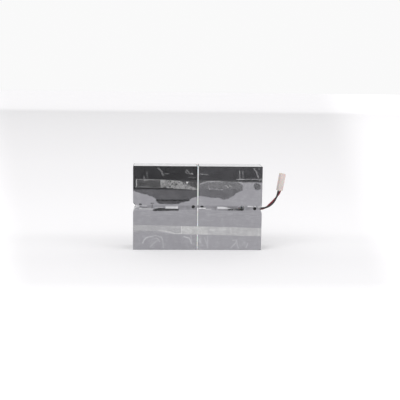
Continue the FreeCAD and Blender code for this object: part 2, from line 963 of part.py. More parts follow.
housing = new_body("connector_housing", stand_on_leads)
housing_outline = rectangle(
    housing, "housing_outline", "Sizes.connector_width", "Sizes.connector_depth"
)
housing_block = pad(housing, "housing_block", housing_outline, "Sizes.connector_length")
round_edges(housing, "housing_corners", housing_block, upright, "0.8")
for pole, sign in (("black", "-"), ("red", "")):
    mating_outline = rectangle(
        housing,
        pole + "_mating_outline",
        "Sizes.mating_bore_width",
        "Sizes.mating_bore_depth",
        x=sign + "Sizes.contact_pitch / 2",
        lift="Sizes.connector_length",
    )
    pocket(housing, pole + "_mating_bore", mating_outline, "Sizes.mating_depth")
    entry_outline = circle(
        housing,
        pole + "_entry_outline",
        "Sizes.wire_entry",
        x=sign + "Sizes.contact_pitch / 2",
        lift="Sizes.connector_length",
    )
    pocket(housing, pole + "_entry", entry_outline, "Sizes.connector_length")
latch_foot_outline = rectangle(
    housing,
    "latch_foot_outline",
    "Sizes.latch_width",
    "Sizes.latch_gap + Sizes.latch_thickness",
    y="(Sizes.connector_depth + Sizes.latch_gap + Sizes.latch_thickness) / 2",
    lift="Sizes.connector_length - Sizes.latch_length",
)
pad(housing, "latch_foot", latch_foot_outline, "Sizes.latch_foot")
latch_outline = rectangle(
    housing,
    "latch_outline",
    "Sizes.latch_width",
    "Sizes.latch_thickness",
    y="Sizes.connector_depth / 2 + Sizes.latch_gap + Sizes.latch_thickness / 2",
    lift="Sizes.connector_length - Sizes.latch_length",
)
pad(housing, "latch", latch_outline, "Sizes.latch_length")
lock_slot_outline = rectangle(
    housing,
    "lock_slot_outline",
    "Sizes.lock_length",
    "Sizes.lock_height",
    plane="XZ_Plane",
    y="Sizes.wire_depth + Sizes.contact_barrel_length",
    lift="Sizes.connector_depth / 2",
)
pocket(housing, "lock_slot", lock_slot_outline, "Sizes.lock_depth")

lock = new_body("connector_lock", stand_on_leads)
lock_outline = rectangle(
    lock,
    "lock_outline",
    "Sizes.lock_length",
    "Sizes.lock_height",
    plane="XZ_Plane",
    y="Sizes.wire_depth + Sizes.contact_barrel_length",
    lift="Sizes.connector_depth / 2 - Sizes.lock_depth",
)
pad(lock, "lock_bar", lock_outline, "Sizes.lock_depth + Sizes.lock_stand")

for pole, sign in (("black", "-"), ("red", "")):
    contact = new_body("contact_" + pole, stand_on_leads)
    crimp_outline = circle(
        contact,
        pole + "_crimp_outline",
        "Sizes.wire_entry",
        x=sign + "Sizes.contact_pitch / 2",
        lift="Sizes.wire_depth",
    )
    pad(contact, pole + "_crimp", crimp_outline, "Sizes.contact_barrel_length")
    tongue_outline = rectangle(
        contact,
        pole + "_tongue_outline",
        "Sizes.contact_tongue_width",
        "Sizes.contact_tongue_thickness",
        x=sign + "Sizes.contact_pitch / 2",
        lift="Sizes.wire_depth + Sizes.contact_barrel_length",
    )
    pad(contact, pole + "_tongue", tongue_outline, "Sizes.tongue_length")


# Leads, swept along straight runs joined by tangent arcs


def tube_along(route, diameter, label):
    """Sweep a round lead along a route and report the radius at each of its bends."""
    runs = [route[i + 1] - route[i] for i in range(len(route) - 1)]
    edges = []
    radii = []
    start = route[0]
    for i in range(1, len(route) - 1):
        before = runs[i - 1]
        after = runs[i]
        turn = before.getAngle(after)
        reach = 0.45 * min(before.Length, after.Length)
        radius = reach / math.tan(turn / 2)
        corner = route[i]
        arc_start = corner - FreeCAD.Vector(before).normalize() * reach
        arc_end = corner + FreeCAD.Vector(after).normalize() * reach
        inward = (arc_start + arc_end) * 0.5 - corner
        centre_distance = radius / math.cos(turn / 2)
        arc_middle = corner + inward.normalize() * (centre_distance - radius)
        edges.append(Part.LineSegment(start, arc_start).toShape())
        edges.append(Part.Arc(arc_start, arc_middle, arc_end).toShape())
        radii.append(round(radius, 1))
        start = arc_end
    edges.append(Part.LineSegment(start, route[-1]).toShape())
    path = Part.Wire(edges)
    section = Part.Wire([Part.Circle(route[0], runs[0], diameter / 2).toShape()])
    tube = path.makePipeShell([section], True, False)
    expected = math.pi * diameter**2 / 4 * path.Length
    print(label, "length", round(path.Length, 1), "bend radii", radii)
    print(label, "volume over section times length", round(tube.Volume / expected, 4))
    return tube


def lead(label, route):
    piece = doc.addObject("Part::Feature", label)
    piece.Label = label
    piece.Shape = tube_along(route, size("lead_diameter"), label)
    nodes.append(piece)


column = size("column_centre")
offset = size("terminal_offset")
front = -size("terminal_side")
back = size("terminal_side")
barrel = size("barrel_reach")
low = size("lower_lid_top") + size("barrel_rise")
high = size("upper_lid_top") - size("barrel_rise")
end = size("pack_length") / 2
front_run = front - size("lead_inset")
contact_side = size("contact_pitch") / 2
wire_depth = size("wire_depth")
approach = size("wire_approach")


def channel_point(along, inward, rise):
    """Give a point of the channel in half pack lengths, lead diameters and channel heights."""
    return vector(
        along * end,
        front_run + inward * size("lead_diameter"),
        size("channel_centre") + rise * size("channel_height"),
    )


def free_point(out, inward, rise):
    """Give a point past the pack's end as shares of the way to the connector."""
    return vector(
        end + out * size("connector_reach"),
        front_run + inward * size("connector_side"),
        size("channel_centre") + rise * size("connector_rise"),
    )


# The black lead starts at the left column's negative terminal and runs along the front
black_start = -column - offset + barrel
lead(
    "lead_black",
    [
        vector(black_start, front, low),
        vector(black_start + size("lead_straight"), front, low),
        channel_point(-0.671, 0.725, -0.25),
        channel_point(-0.541, 0, -0.308),
        channel_point(-0.358, 0.125, -0.292),
        channel_point(-0.176, -0.025, 0.017),
        channel_point(0.013, 0.1, 0.233),
        channel_point(0.202, 0, 0.083),
        channel_point(0.372, 0.125, -0.158),
        channel_point(0.556, 0, -0.308),
        channel_point(0.726, 0.1, -0.283),
        channel_point(0.882, 0, -0.158),
        channel_point(0.987, 0.15, 0.058),
        free_point(0.278, 0.147, 0.046),
        free_point(0.529, 0.206, 0.18),
        free_point(0.74, 0.206, 0.41),
        free_point(0.855, 0.191, 0.668),
        connector_point(-contact_side, 0, -approach),
        connector_point(-contact_side, 0, wire_depth),
    ],
)

# The red lead starts at the right column's positive terminal and runs up behind the black one
red_start = column + offset + barrel
lead(
    "lead_red",
    [
        vector(red_start, front, low),
        vector(red_start + size("lead_straight"), front, low),
        free_point(0.275, 0.853, 0.038),
        free_point(0.467, 0.853, 0.225),
        free_point(0.68, 0.853, 0.425),
        free_point(0.885, 0.824, 0.655),
        connector_point(contact_side, 0, -approach),
        connector_point(contact_side, 0, wire_depth),
    ],
)


def jumper_route(side):
    """Cross a column's channel from its inner front terminal to its outer back terminal."""
    inner = side * (column - offset + barrel)
    crossing = side * 2 * (offset - barrel)
    straight = side * size("jumper_straight")
    rise = high - low
    return [
        vector(inner, front, low),
        vector(inner + straight, front, low),
        vector(inner + 0.55 * crossing, 0.05 * back, low + 0.7 * rise),
        vector(inner + 0.74 * crossing, 0.66 * back, low + 0.94 * rise),
        vector(inner + crossing - straight, back, high),
        vector(inner + crossing, back, high),
    ]


left_route = jumper_route(-1)
right_route = jumper_route(1)
lead("jumper_left", left_route)
lead("jumper_right", right_route)

link = doc.addObject("Part::Cylinder", "jumper_middle")
link.Label = "jumper_middle"
link.Placement = FreeCAD.Placement(vector(0, 0, 0), FreeCAD.Rotation(vector(0, 1, 0), 90))
place(
    link,
    "-Sizes.column_centre + Sizes.terminal_offset + Sizes.barrel_reach",
    "Sizes.terminal_side",
    "Sizes.upper_lid_top - Sizes.barrel_rise",
)
link.setExpression("Radius", "Sizes.lead_diameter / 2")
link.setExpression(
    "Height", "2 * (Sizes.column_centre - Sizes.terminal_offset - Sizes.barrel_reach)"
)
nodes.append(link)


def insulating_sleeve(label, route):
    """Slide a sleeve over the straight part of a jumper's longest run."""
    run = route[2] - route[1]
    before = 0.45 * min(run.Length, (route[1] - route[0]).Length)
    after = 0.45 * min(run.Length, (route[3] - route[2]).Length)
    along = FreeCAD.Vector(run).normalize()
    foot = before + size("sleeve_clearance")
    outer = doc.addObject("Part::Cylinder", label + "_outside")
    bore = doc.addObject("Part::Cylinder", label + "_bore")
    for cylinder, diameter in ((outer, "Sizes.sleeve_diameter"), (bore, "Sizes.lead_diameter")):
        cylinder.setExpression("Radius", diameter + " / 2")
        cylinder.Height = run.Length - foot - after - size("sleeve_clearance")
    sleeve = doc.addObject("Part::Cut", label)
    sleeve.Label = label
    sleeve.Base = outer
    sleeve.Tool = bore
    sleeve.Placement = FreeCAD.Placement(
        route[1] + along * foot, FreeCAD.Rotation(vector(0, 0, 1), along)
    )
    nodes.append(sleeve)


insulating_sleeve("sleeve_left", left_route)
insulating_sleeve("sleeve_right", right_route)

# Check and export
doc.recompute()
for item in doc.Objects:
    faults = [state for state in item.State if state in ("Invalid", "Error")]
    if faults:
        raise RuntimeError("%s is %s" % (item.Name, faults))
for node in nodes:
    if node.Shape.isNull() or not node.Shape.isValid():
        raise RuntimeError("%s has no valid shape" % node.Label)
    node.Shape.exportStep("parts/%s.step" % node.Label)
print(len(nodes), "pieces")
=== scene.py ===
import math

import bpy
import numpy as np
from mathutils import Matrix, Vector


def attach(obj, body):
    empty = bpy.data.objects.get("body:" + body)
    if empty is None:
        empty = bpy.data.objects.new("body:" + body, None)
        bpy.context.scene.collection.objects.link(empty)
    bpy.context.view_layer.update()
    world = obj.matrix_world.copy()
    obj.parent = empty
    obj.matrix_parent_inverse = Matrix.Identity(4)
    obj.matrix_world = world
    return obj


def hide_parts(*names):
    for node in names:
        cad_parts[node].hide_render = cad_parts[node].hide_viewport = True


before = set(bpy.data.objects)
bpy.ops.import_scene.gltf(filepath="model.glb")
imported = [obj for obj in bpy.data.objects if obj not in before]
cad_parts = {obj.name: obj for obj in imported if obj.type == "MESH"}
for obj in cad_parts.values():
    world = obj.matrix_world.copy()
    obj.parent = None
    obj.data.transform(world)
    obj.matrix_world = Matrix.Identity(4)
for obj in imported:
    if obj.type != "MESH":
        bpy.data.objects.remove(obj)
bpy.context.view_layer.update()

BODY = "root"
MM = 0.001


def new_object(name, data):
    """An object of the scene with its mesh, curve, lamp or camera."""
    made = bpy.data.objects.new(name, data)
    bpy.context.scene.collection.objects.link(made)
    return made


# Camera

CAMERA_PLACE = Vector((-0.09007, -1.95891, 0.39635))
CAMERA_AZIMUTH = math.radians(2.8285)
CAMERA_PITCH = math.radians(8.1419)
CAMERA_ROLL = math.radians(0.7151)
CAMERA_LENS = 74.08
SENSOR_WIDTH = 36.0


def add_camera():
    """The camera at the photograph's viewing angle."""
    forward = Vector((math.sin(CAMERA_AZIMUTH) * math.cos(CAMERA_PITCH),
                      math.cos(CAMERA_AZIMUTH) * math.cos(CAMERA_PITCH),
                      -math.sin(CAMERA_PITCH)))
    level = Vector((math.cos(CAMERA_AZIMUTH), -math.sin(CAMERA_AZIMUTH), 0.0))
    upright = level.cross(forward)
    right = level * math.cos(CAMERA_ROLL) + upright * math.sin(CAMERA_ROLL)
    up = upright * math.cos(CAMERA_ROLL) - level * math.sin(CAMERA_ROLL)
    data = bpy.data.cameras.new("camera")
    data.lens = CAMERA_LENS
    data.sensor_width = SENSOR_WIDTH
    camera = new_object("camera", data)
    turn = Matrix((right, up, -forward)).transposed().to_4x4()
    camera.matrix_world = Matrix.Translation(CAMERA_PLACE) @ turn
    bpy.context.scene.camera = camera


# Leads

LEAD_DIAMETER = 0.004

BLACK_ROUTE = [
    (-0.1248, -0.0225, 0.0976), (-0.1158, -0.0225, 0.0976), (-0.1027, -0.0257, 0.0973),
    (-0.0828, -0.0286, 0.0966), (-0.0548, -0.0281, 0.0968), (-0.0269, -0.0287, 0.1005),
    (0.0020, -0.0282, 0.1031), (0.0309, -0.0286, 0.1013), (0.0570, -0.0281, 0.0984),
    (0.0851, -0.0286, 0.0966), (0.1112, -0.0282, 0.0969), (0.1350, -0.0286, 0.0984),
    (0.1511, -0.0280, 0.1010), (0.1646, -0.0276, 0.1023), (0.1750, -0.0272, 0.1081),
    (0.1837, -0.0272, 0.1181), (0.1885, -0.0273, 0.1293), (0.1912, -0.0275, 0.1397),
    (0.1924, -0.0275, 0.1471),
]
RED_ROUTE = [
    (0.1448, -0.0225, 0.0976), (0.1538, -0.0225, 0.0976), (0.1645, -0.0228, 0.1019),
    (0.1724, -0.0228, 0.1101), (0.1813, -0.0228, 0.1187), (0.1897, -0.0230, 0.1287),
    (0.1964, -0.0245, 0.1388), (0.1975, -0.0245, 0.1463),
]


def lead(name, node, route):
    """One lead of the cartridge as a smooth spline through its route's control points."""
    curve = bpy.data.curves.new(name, "CURVE")
    curve.dimensions = "3D"
    curve.bevel_depth = 1.0
    curve.bevel_resolution = 6
    curve.resolution_u = 12
    curve.use_fill_caps = True
    spline = curve.splines.new("NURBS")
    spline.points.add(len(route) - 1)
    for point, place in zip(spline.points, route):
        point.co = (*place, 1.0)
        point.radius = LEAD_DIAMETER / 2
    spline.order_u = 3
    spline.use_endpoint_u = True
    cord = new_object(name, curve)
    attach(cord, BODY)
    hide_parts(node)
    return cord


add_camera()
black_lead = lead("black_lead", "lead_black", BLACK_ROUTE)
red_lead = lead("red_lead", "lead_red", RED_ROUTE)


# Node helpers

def feed(node, inputs):
    """Give a node's sockets their values or links."""
    for key, value in inputs.items():
        if isinstance(value, bpy.types.NodeSocket):
            node.id_data.links.new(value, node.inputs[key])
        else:
            node.inputs[key].default_value = value
    return node


def add_node(tree, kind, inputs=None, **settings):
    """A node of a shader or geometry tree with its sockets' values or links and its settings."""
    node = tree.nodes.new(kind)
    for key, value in settings.items():
        setattr(node, key, value)
    return feed(node, inputs or {})


def tree_of(*values):
    """The node tree of the first socket among some values."""
    return next(v for v in values if isinstance(v, bpy.types.NodeSocket)).id_data


def sum_node(operation):
    """A function that puts one sum on one or two values, of which one is a socket, in its tree."""
    def result(*values, clamp=False):
        return add_node(tree_of(*values), "ShaderNodeMath", dict(enumerate(values)),
                        operation=operation, use_clamp=clamp).outputs[0]
    return result


plus, minus, times, over, larger, absolute = (
    sum_node(operation)
    for operation in ("ADD", "SUBTRACT", "MULTIPLY", "DIVIDE", "MAXIMUM", "ABSOLUTE"))

# Places of the colour sockets in a Mix node
MIX_SHARE, MIX_FIRST, MIX_SECOND, MIX_RESULT = 0, 6, 7, 2
BLACK = (0.0, 0.0, 0.0, 1.0)
WHITE = (1.0, 1.0, 1.0, 1.0)


def colour_mix(share, first, second):
    """Two colours mixed by a share."""
    return add_node(tree_of(share, first, second), "ShaderNodeMix",
                    {MIX_SHARE: share, MIX_FIRST: first, MIX_SECOND: second},
                    data_type="RGBA").outputs[MIX_RESULT]


def ramp(value, low, high, to_low=0.0, to_high=1.0):
    """A value spread smoothly from one range to another."""
    return add_node(value.id_data, "ShaderNodeMapRange",
                    {"Value": value, "From Min": low, "From Max": high,
                     "To Min": to_low, "To Max": to_high},
                    interpolation_type="SMOOTHSTEP").outputs["Result"]


def noise(vector, scale, detail=3.0, roughness=0.5, distortion=0.0):
    """A noise texture's value."""
    return add_node(vector.id_data, "ShaderNodeTexNoise",
                    {"Vector": vector, "Scale": scale, "Detail": detail,
                     "Roughness": roughness, "Distortion": distortion}).outputs["Fac"]


def cells(vector, scale):
    """The distance to the nearest of scattered points."""
    return add_node(vector.id_data, "ShaderNodeTexVoronoi",
                    {"Vector": vector, "Scale": scale}).outputs["Distance"]


def bands(vector, direction, scale, distortion=0.0):
    """A wave texture's value in straight bands."""
    return add_node(vector.id_data, "ShaderNodeTexWave",
                    {"Vector": vector, "Scale": scale, "Distortion": distortion},
                    wave_type="BANDS", bands_direction=direction).outputs["Fac"]


def stretched(vector, scale):
    """A vector scaled per axis, for a pattern that runs along one of them."""
    return add_node(vector.id_data, "ShaderNodeMapping",
                    {"Vector": vector, "Scale": scale}).outputs["Vector"]


def toned(colour, value):
    """A colour made lighter or darker."""
    return add_node(colour.id_data, "ShaderNodeHueSaturation",
                    {"Value": value, "Color": colour}).outputs["Color"]


def bump(height, strength, distance):
    """The normal of a surface with relief from a height."""
    return add_node(height.id_data, "ShaderNodeBump",
                    {"Height": height, "Strength": strength,
                     "Distance": distance}).outputs["Normal"]


def new_group(name, inputs, outputs):
    """A shader node group, the sockets that it is given and its output node."""
    group = bpy.data.node_groups.new(name, "ShaderNodeTree")
    for way, labels in (("INPUT", inputs), ("OUTPUT", outputs)):
        for label in labels:
            kind = label.split()[-1] if label.endswith(("Vector", "Color")) else "Float"
            group.interface.new_socket(label, in_out=way, socket_type="NodeSocket" + kind)
    return group, group.nodes.new("NodeGroupInput").outputs, group.nodes.new("NodeGroupOutput")


def use_group(group, inputs):
    """The outputs of a group placed in a material with its own values."""
    return add_node(inputs["Vector"].id_data, "ShaderNodeGroup", inputs,
                    node_tree=group).outputs


def new_material(name, **plain):
    """A material with its Principled shader, plain values and Object coordinates."""
    material = bpy.data.materials.new(name)
    material.use_nodes = True
    tree = material.node_tree
    tree.nodes.clear()
    shader = add_node(tree, "ShaderNodeBsdfPrincipled",
                      {key.replace("_", " "): value for key, value in plain.items()})
    add_node(tree, "ShaderNodeOutputMaterial", {"Surface": shader.outputs["BSDF"]})
    return material, shader, add_node(tree, "ShaderNodeTexCoord").outputs["Object"]


# Shared effects

def moulded_surface_group():
    """The skin of a moulded plastic: fine grain, slow mottling and rub marks."""
    group, given, made = new_group(
        "moulded_surface", ("Vector", "Color", "Grain Scale", "Mottle", "Rub", "Roughness"),
        ("Color", "Roughness", "Height"))
    place = given["Vector"]
    grain = cells(place, given["Grain Scale"])
    mottle = noise(place, 55.0, 5.0, 0.6)
    wide = noise(place, 14.0)
    marks = noise(stretched(place, (60.0, 60.0, 700.0)), 1.0, 4.0, 0.7)
    patches = ramp(noise(place, 24.0, 2.0), 0.5, 0.72)
    rubbed = times(times(ramp(marks, 0.52, 0.7), patches), given["Rub"])
    shade = ramp(plus(times(mottle, 0.6), times(wide, 0.4)), 0.3, 0.7, -1.0, 1.0)
    lighter = colour_mix(0.5, given["Color"], WHITE)
    tone = colour_mix(rubbed, given["Color"], lighter)
    rough = plus(given["Roughness"], times(minus(mottle, 0.5), 0.25))
    feed(made, {"Color": toned(tone, plus(times(shade, given["Mottle"]), 1.0)),
                "Roughness": plus(rough, times(rubbed, 0.25), clamp=True),
                "Height": plus(grain, times(mottle, 0.6))})
    return group


def layer_over(colour, alpha, upper_colour, cover):
    """Lay a colour over another at its own cover and give the joint colour and alpha."""
    joint = plus(times(alpha, minus(1.0, cover)), cover, clamp=True)
    share = over(cover, larger(joint, 0.001), clamp=True)
    return colour_mix(share, colour, upper_colour), joint


def film_haze_and_reflection_group():
    """Clear plastic sheet: whitened by haze, creases, painted reflection and painted highlights,
    darkened by painted shade, clear where none is.
    """
    group, given, made = new_group(
        "film_haze_and_reflection", ("Vector", "Haze", "Crease", "Shade", "Haze Color", "Crease Color",
                      "Clear Alpha", "Full Alpha", "Roughness"),
        ("Color", "Alpha", "Roughness", "Height"))
    place, haze, clear = given["Vector"], given["Haze"], given["Clear Alpha"]
    fine = noise(place, 420.0, 4.0, 0.6)
    cloud = noise(place, 60.0, 4.0, 0.55, 0.4)
    drawn = noise(stretched(place, (40.0, 200.0, 320.0)), 1.0, 3.0, 0.6, 0.6)
    breakup = plus(plus(times(fine, 0.25), times(cloud, 0.45)), times(drawn, 0.30))
    swing = ramp(breakup, 0.35, 0.65, -0.5, 0.5)
    alpha = plus(clear, times(haze, minus(given["Full Alpha"], clear)))
    half_clear = plus(times(haze, minus(1.0, haze)), 0.02)
    alpha = plus(alpha, times(half_clear, times(swing, 0.35)), clamp=True)
    tone = toned(given["Haze Color"], plus(1.0, times(swing, 0.10)))
    tone, alpha = layer_over(tone, alpha, given["Crease Color"], given["Crease"])
    tone, alpha = layer_over(tone, alpha, (0.006, 0.006, 0.007, 1.0), given["Shade"])
    feed(made, {"Color": tone, "Alpha": alpha,
                "Roughness": plus(given["Roughness"], times(swing, 0.12), clamp=True),
                "Height": plus(times(cloud, 0.7), times(drawn, 0.5))})
    return group


MOULDED = moulded_surface_group()
FILM_HAZE_AND_REFLECTION = film_haze_and_reflection_group()


# Materials

def moulded_skin(place, colour, roughness, grain, mottle, rub):
    """The outputs of a moulded skin."""
    return use_group(MOULDED, {"Vector": place, "Color": colour, "Grain Scale": grain,
                               "Mottle": mottle, "Rub": rub, "Roughness": roughness})


def moulded_plastic(name, colour, roughness, grain, mottle, rub, relief, **plain):
    """A moulded plastic part."""
    material, shader, place = new_material(name, **plain)
    skin = moulded_skin(place, colour, roughness, grain, mottle, rub)
    feed(shader, {"Base Color": skin["Color"], "Roughness": skin["Roughness"],
                  "Normal": bump(skin["Height"], relief, 0.0002)})
    return material


def metal(name, colour, roughness, brushing, tarnish):
    """Tinned or cast metal with fine drawing marks and dull spots."""
    material, shader, place = new_material(name, Metallic=1.0)
    marks = noise(stretched(place, brushing), 1.0, 4.0, 0.65)
    spots = ramp(noise(place, 600.0, 4.0, 0.6), 0.5, 0.7)
    feed(shader, {"Base Color": colour_mix(spots, colour, tarnish),
                  "Roughness": plus(times(marks, 0.3), roughness),
                  "Normal": bump(marks, 0.3, 0.0001)})
    return material


def plate_material():
    """Pasted plates with the pale separators between them, on edge."""
    material, shader, place = new_material("plate_pack", Roughness=0.85)
    across = bands(place, "X", 140.0, 0.4)
    paste = noise(place, 300.0, 5.0, 0.6)
    dark = colour_mix(paste, (0.035, 0.028, 0.024, 1), (0.10, 0.085, 0.075, 1))
    feed(shader, {"Base Color": colour_mix(ramp(across, 0.6, 0.8), dark, (0.62, 0.61, 0.58, 1)),
                  "Normal": bump(across, 0.5, 0.0004)})
    return material


def foam_material():
    """White closed-cell foam with its cells cut open on the surface."""
    material, shader, place = new_material(
        "cut_foam", Roughness=0.82, Subsurface_Weight=0.25, Subsurface_Scale=0.004)
    cut = cells(place, 900.0)
    soft = ramp(noise(place, 90.0, 4.0, 0.6), 0.4, 0.75)
    tone = colour_mix(ramp(cut, 0.1, 0.8), (0.66, 0.66, 0.67, 1), (0.84, 0.84, 0.83, 1))
    feed(shader, {"Base Color": colour_mix(soft, tone, (0.60, 0.60, 0.61, 1)),
                  "Normal": bump(cut, 0.5, 0.0003)})
    return material


def insulation(name, colour, faded, roughness, coat):
    """Extruded wire insulation: a smooth skin with faint lengthways draw lines."""
    material, shader, place = new_material(name, Coat_Weight=coat, Coat_Roughness=0.35)
    skin = moulded_skin(place, colour, roughness, 2600.0, 0.12, 0.25)
    wear = times(ramp(noise(place, 120.0, 4.0, 0.6), 0.45, 0.8), 0.5)
    lines = noise(stretched(place, (60.0, 1500.0, 1500.0)), 1.0)
    feed(shader, {"Base Color": colour_mix(wear, skin["Color"], faded),
                  "Roughness": skin["Roughness"],
                  "Normal": bump(plus(lines, times(skin["Height"], 0.3)), 0.35, 0.0002)})
    return material


def sleeve_material():
    """White braided insulating sleeve."""
    material, shader, place = new_material("braided_sleeve", Roughness=0.55)
    braid = larger(*(bands(stretched(place, (way, 1.0, 1.0)), "DIAGONAL", 330.0)
                     for way in (1.0, -1.0)))
    feed(shader, {"Base Color": colour_mix(braid, (0.66, 0.66, 0.65, 1), (0.88, 0.88, 0.86, 1)),
                  "Normal": bump(braid, 0.5, 0.0003)})
    return material


# Share of the light that a sheet lets through to what lies under it
LIGHT_PASSING = 0.85
# How much darker a sheet's inner side is
INNER_DARKNESS = 0.85
# Painted layers of a sheet: haze that also carries painted reflection, crease whitening that also
# carries painted highlights, and painted shade
LAYERS = ("haze", "crease", "shade")


def sheet_material(name, haze_and_reflection_colour, crease_and_highlight_colour, clear, full, roughness, relief,
                   blocked=0.0, **plain):
    """Clear sheet whose haze and creases, with painted reflection, painted highlights and painted
    shade, are painted on its surface.
    """
    material, shader, place = new_material(name, **plain)
    tree = material.node_tree
    painted = {label.title(): add_node(tree, "ShaderNodeAttribute",
                                       attribute_name=label).outputs["Fac"] for label in LAYERS}
    sheet = use_group(FILM_HAZE_AND_REFLECTION, {"Vector": place, **painted, "Haze Color": haze_and_reflection_colour,
                                  "Crease Color": crease_and_highlight_colour, "Clear Alpha": clear,
                                  "Full Alpha": full, "Roughness": roughness})
    behind = add_node(tree, "ShaderNodeNewGeometry").outputs["Backfacing"]
    path = add_node(tree, "ShaderNodeLightPath").outputs
    passing = larger(path["Is Shadow Ray"], path["Is Diffuse Ray"])
    kept = minus(1.0, times(passing, minus(LIGHT_PASSING, times(painted["Haze"], blocked))))
    feed(shader, {"Base Color": colour_mix(times(behind, INNER_DARKNESS), sheet["Color"], BLACK),
                  "Alpha": times(sheet["Alpha"], kept), "Roughness": sheet["Roughness"],
                  "Normal": bump(sheet["Height"], relief, 0.0006)})
    return material


def bubble_material():
    """Air under the tape: a bright rim round a clear middle."""
    material, shader, place = new_material("trapped_air", Roughness=0.12)
    facing = add_node(material.node_tree, "ShaderNodeLayerWeight",
                      {"Blend": 0.35}).outputs["Facing"]
    uneven = noise(place, 900.0, 3.0, 0.6)
    feed(shader, {"Base Color": colour_mix(uneven, (0.55, 0.55, 0.56, 1), (0.85, 0.85, 0.86, 1)),
                  "Alpha": ramp(facing, 0.15, 0.9, 0.06, 0.7)})
    return material


FINISHES = {
    "case": moulded_plastic("battery_case_plastic", (0.010, 0.010, 0.012, 1), 0.42, 1400.0,
                            0.18, 0.10, 0.11, Specular_IOR_Level=0.3),
    "cover": moulded_plastic("vent_cover_plastic", (0.026, 0.026, 0.029, 1), 0.38, 1700.0,
                             0.15, 0.10, 0.2),
    "rubber": moulded_plastic("valve_rubber", (0.012, 0.012, 0.012, 1), 0.7, 900.0,
                              0.2, 0.05, 0.3),
    "vinyl": moulded_plastic("boot_vinyl", (0.018, 0.018, 0.02, 1), 0.3, 800.0,
                             0.15, 0.1, 0.15, Coat_Weight=0.4, Coat_Roughness=0.25),
    "nylon": moulded_plastic("connector_nylon", (0.70, 0.61, 0.58, 1), 0.42, 1200.0,
                             0.06, 0.15, 0.2, Subsurface_Weight=0.25, Subsurface_Scale=0.003),
    "lock": moulded_plastic("lock_nylon", (0.70, 0.67, 0.62, 1), 0.4, 1200.0,
                            0.06, 0.15, 0.2, Subsurface_Weight=0.25, Subsurface_Scale=0.003),
    "lead": metal("cast_lead", (0.28, 0.29, 0.31, 1), 0.42, (300.0, 300.0, 300.0),
                  (0.16, 0.17, 0.18, 1)),
    "tin": metal("tinned_brass", (0.72, 0.70, 0.66, 1), 0.22, (200.0, 1800.0, 200.0),
                 (0.55, 0.50, 0.42, 1)),
    "contact": metal("plated_contact", (0.76, 0.74, 0.70, 1), 0.2, (1800.0, 1800.0, 200.0),
                     (0.6, 0.56, 0.5, 1)),
    "plates": plate_material(),
    "foam": foam_material(),
    "black_wire": insulation("black_insulation", (0.012, 0.012, 0.013, 1),
                             (0.03, 0.03, 0.032, 1), 0.38, 0.15),
    "red_wire": insulation("red_insulation", (0.27, 0.014, 0.032, 1), (0.33, 0.04, 0.06, 1),
                           0.36, 0.2),
    "sleeve": sleeve_material(),
    # The film's haze colour is also the grey of its painted reflection, its crease colour the white
    # of its painted highlights
    "film": sheet_material("shrink_film", (0.345, 0.34, 0.365, 1), (0.90, 0.90, 0.92, 1),
                           0.02, 0.97, 0.24, 0.35, blocked=0.75, Specular_IOR_Level=0.3),
    "tape": sheet_material("clear_tape", (0.60, 0.60, 0.60, 1), (0.88, 0.88, 0.88, 1),
                           0.02, 0.95, 0.20, 0.2),
    "bubble": bubble_material(),
}

NODE_FINISHES = [
    ("vent_cover", "cover"), ("valve_caps", "rubber"), ("plate_stacks", "plates"),
    ("cell_straps", "lead"), ("terminal_positive", "tin"), ("terminal_negative", "tin"),
    ("case", "case"), ("lid", "case"), ("foam_", "foam"), ("channel_pads", "foam"),
    ("receptacles", "tin"), ("boots", "vinyl"), ("lead_black", "black_wire"),
    ("lead_red", "red_wire"), ("jumper", "black_wire"), ("sleeve", "sleeve"),
    ("connector_housing", "nylon"), ("connector_lock", "lock"), ("contact_", "contact"),
    ("film_", "film"), ("tape_", "tape"),
]


def finish_nodes():
    """Every carried-over piece gets its finish."""
    for name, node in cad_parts.items():
        finish = next(f for part, f in NODE_FINISHES if part in name)
        node.data.materials.clear()
        node.data.materials.append(FINISHES[finish])


finish_nodes()
black_lead.data.materials.append(FINISHES["black_wire"])
red_lead.data.materials.append(FINISHES["red_wire"])


# Painting

LATTICE = 64


def smooth(value, low, high):
    """0 below low, 1 above high and a smooth rise between them."""
    t = np.clip((value - low) / (high - low), 0.0, 1.0)
    return t * t * (3.0 - 2.0 * t)


def blend_to(value, target, share):
    """A value moved towards a target by a share."""
    return value + (target - value) * share


def lattice_noise(first, second, size, seed):
    """Smooth random values from -1 to 1 over two coordinates, in cells of the given size."""
    table = np.random.RandomState(seed).uniform(-1.0, 1.0, (LATTICE, LATTICE))
    u, v = np.asarray(first) / size, np.asarray(second) / size
    cell_u, cell_v = np.floor(u).astype(int), np.floor(v).astype(int)
    low, high = (blend_to(table[cell_u % LATTICE, row % LATTICE],
                          table[(cell_u + 1) % LATTICE, row % LATTICE],
                          smooth(u - cell_u, 0.0, 1.0)) for row in (cell_v, cell_v + 1))
    return blend_to(low, high, smooth(v - cell_v, 0.0, 1.0))


def rough_noise(first, second, size, seed):
    """Three sizes of lattice noise together."""
    return (lattice_noise(first, second, size, seed) * 0.55
            + lattice_noise(first, second, size / 2.3, seed + 1) * 0.30
            + lattice_noise(first, second, size / 5.1, seed + 2) * 0.15)


def distance_to_line(x, z, points, closed=False):
    """The distance of every point to a line of straight runs, all in millimetres."""
    best = np.full(np.shape(x), 1e9)
    ends = list(zip(points, points[1:])) + ([(points[-1], points[0])] if closed else [])
    for (ax, az), (bx, bz) in ends:
        dx, dz = bx - ax, bz - az
        run = max(dx * dx + dz * dz, 1e-9)
        t = np.clip(((x - ax) * dx + (z - az) * dz) / run, 0.0, 1.0)
        best = np.minimum(best, np.hypot(x - ax - t * dx, z - az - t * dz))
    return best


def inside(x, z, points):
    """Which points lie in a polygon."""
    found = np.zeros(np.shape(x), bool)
    for (ax, az), (bx, bz) in zip(points, points[1:] + points[:1]):
        crosses = (az > z) != (bz > z)
        at = (bx - ax) * (z - az) / (bz - az if bz != az else 1e-9) + ax
        found ^= crosses & (x < at)
    return found


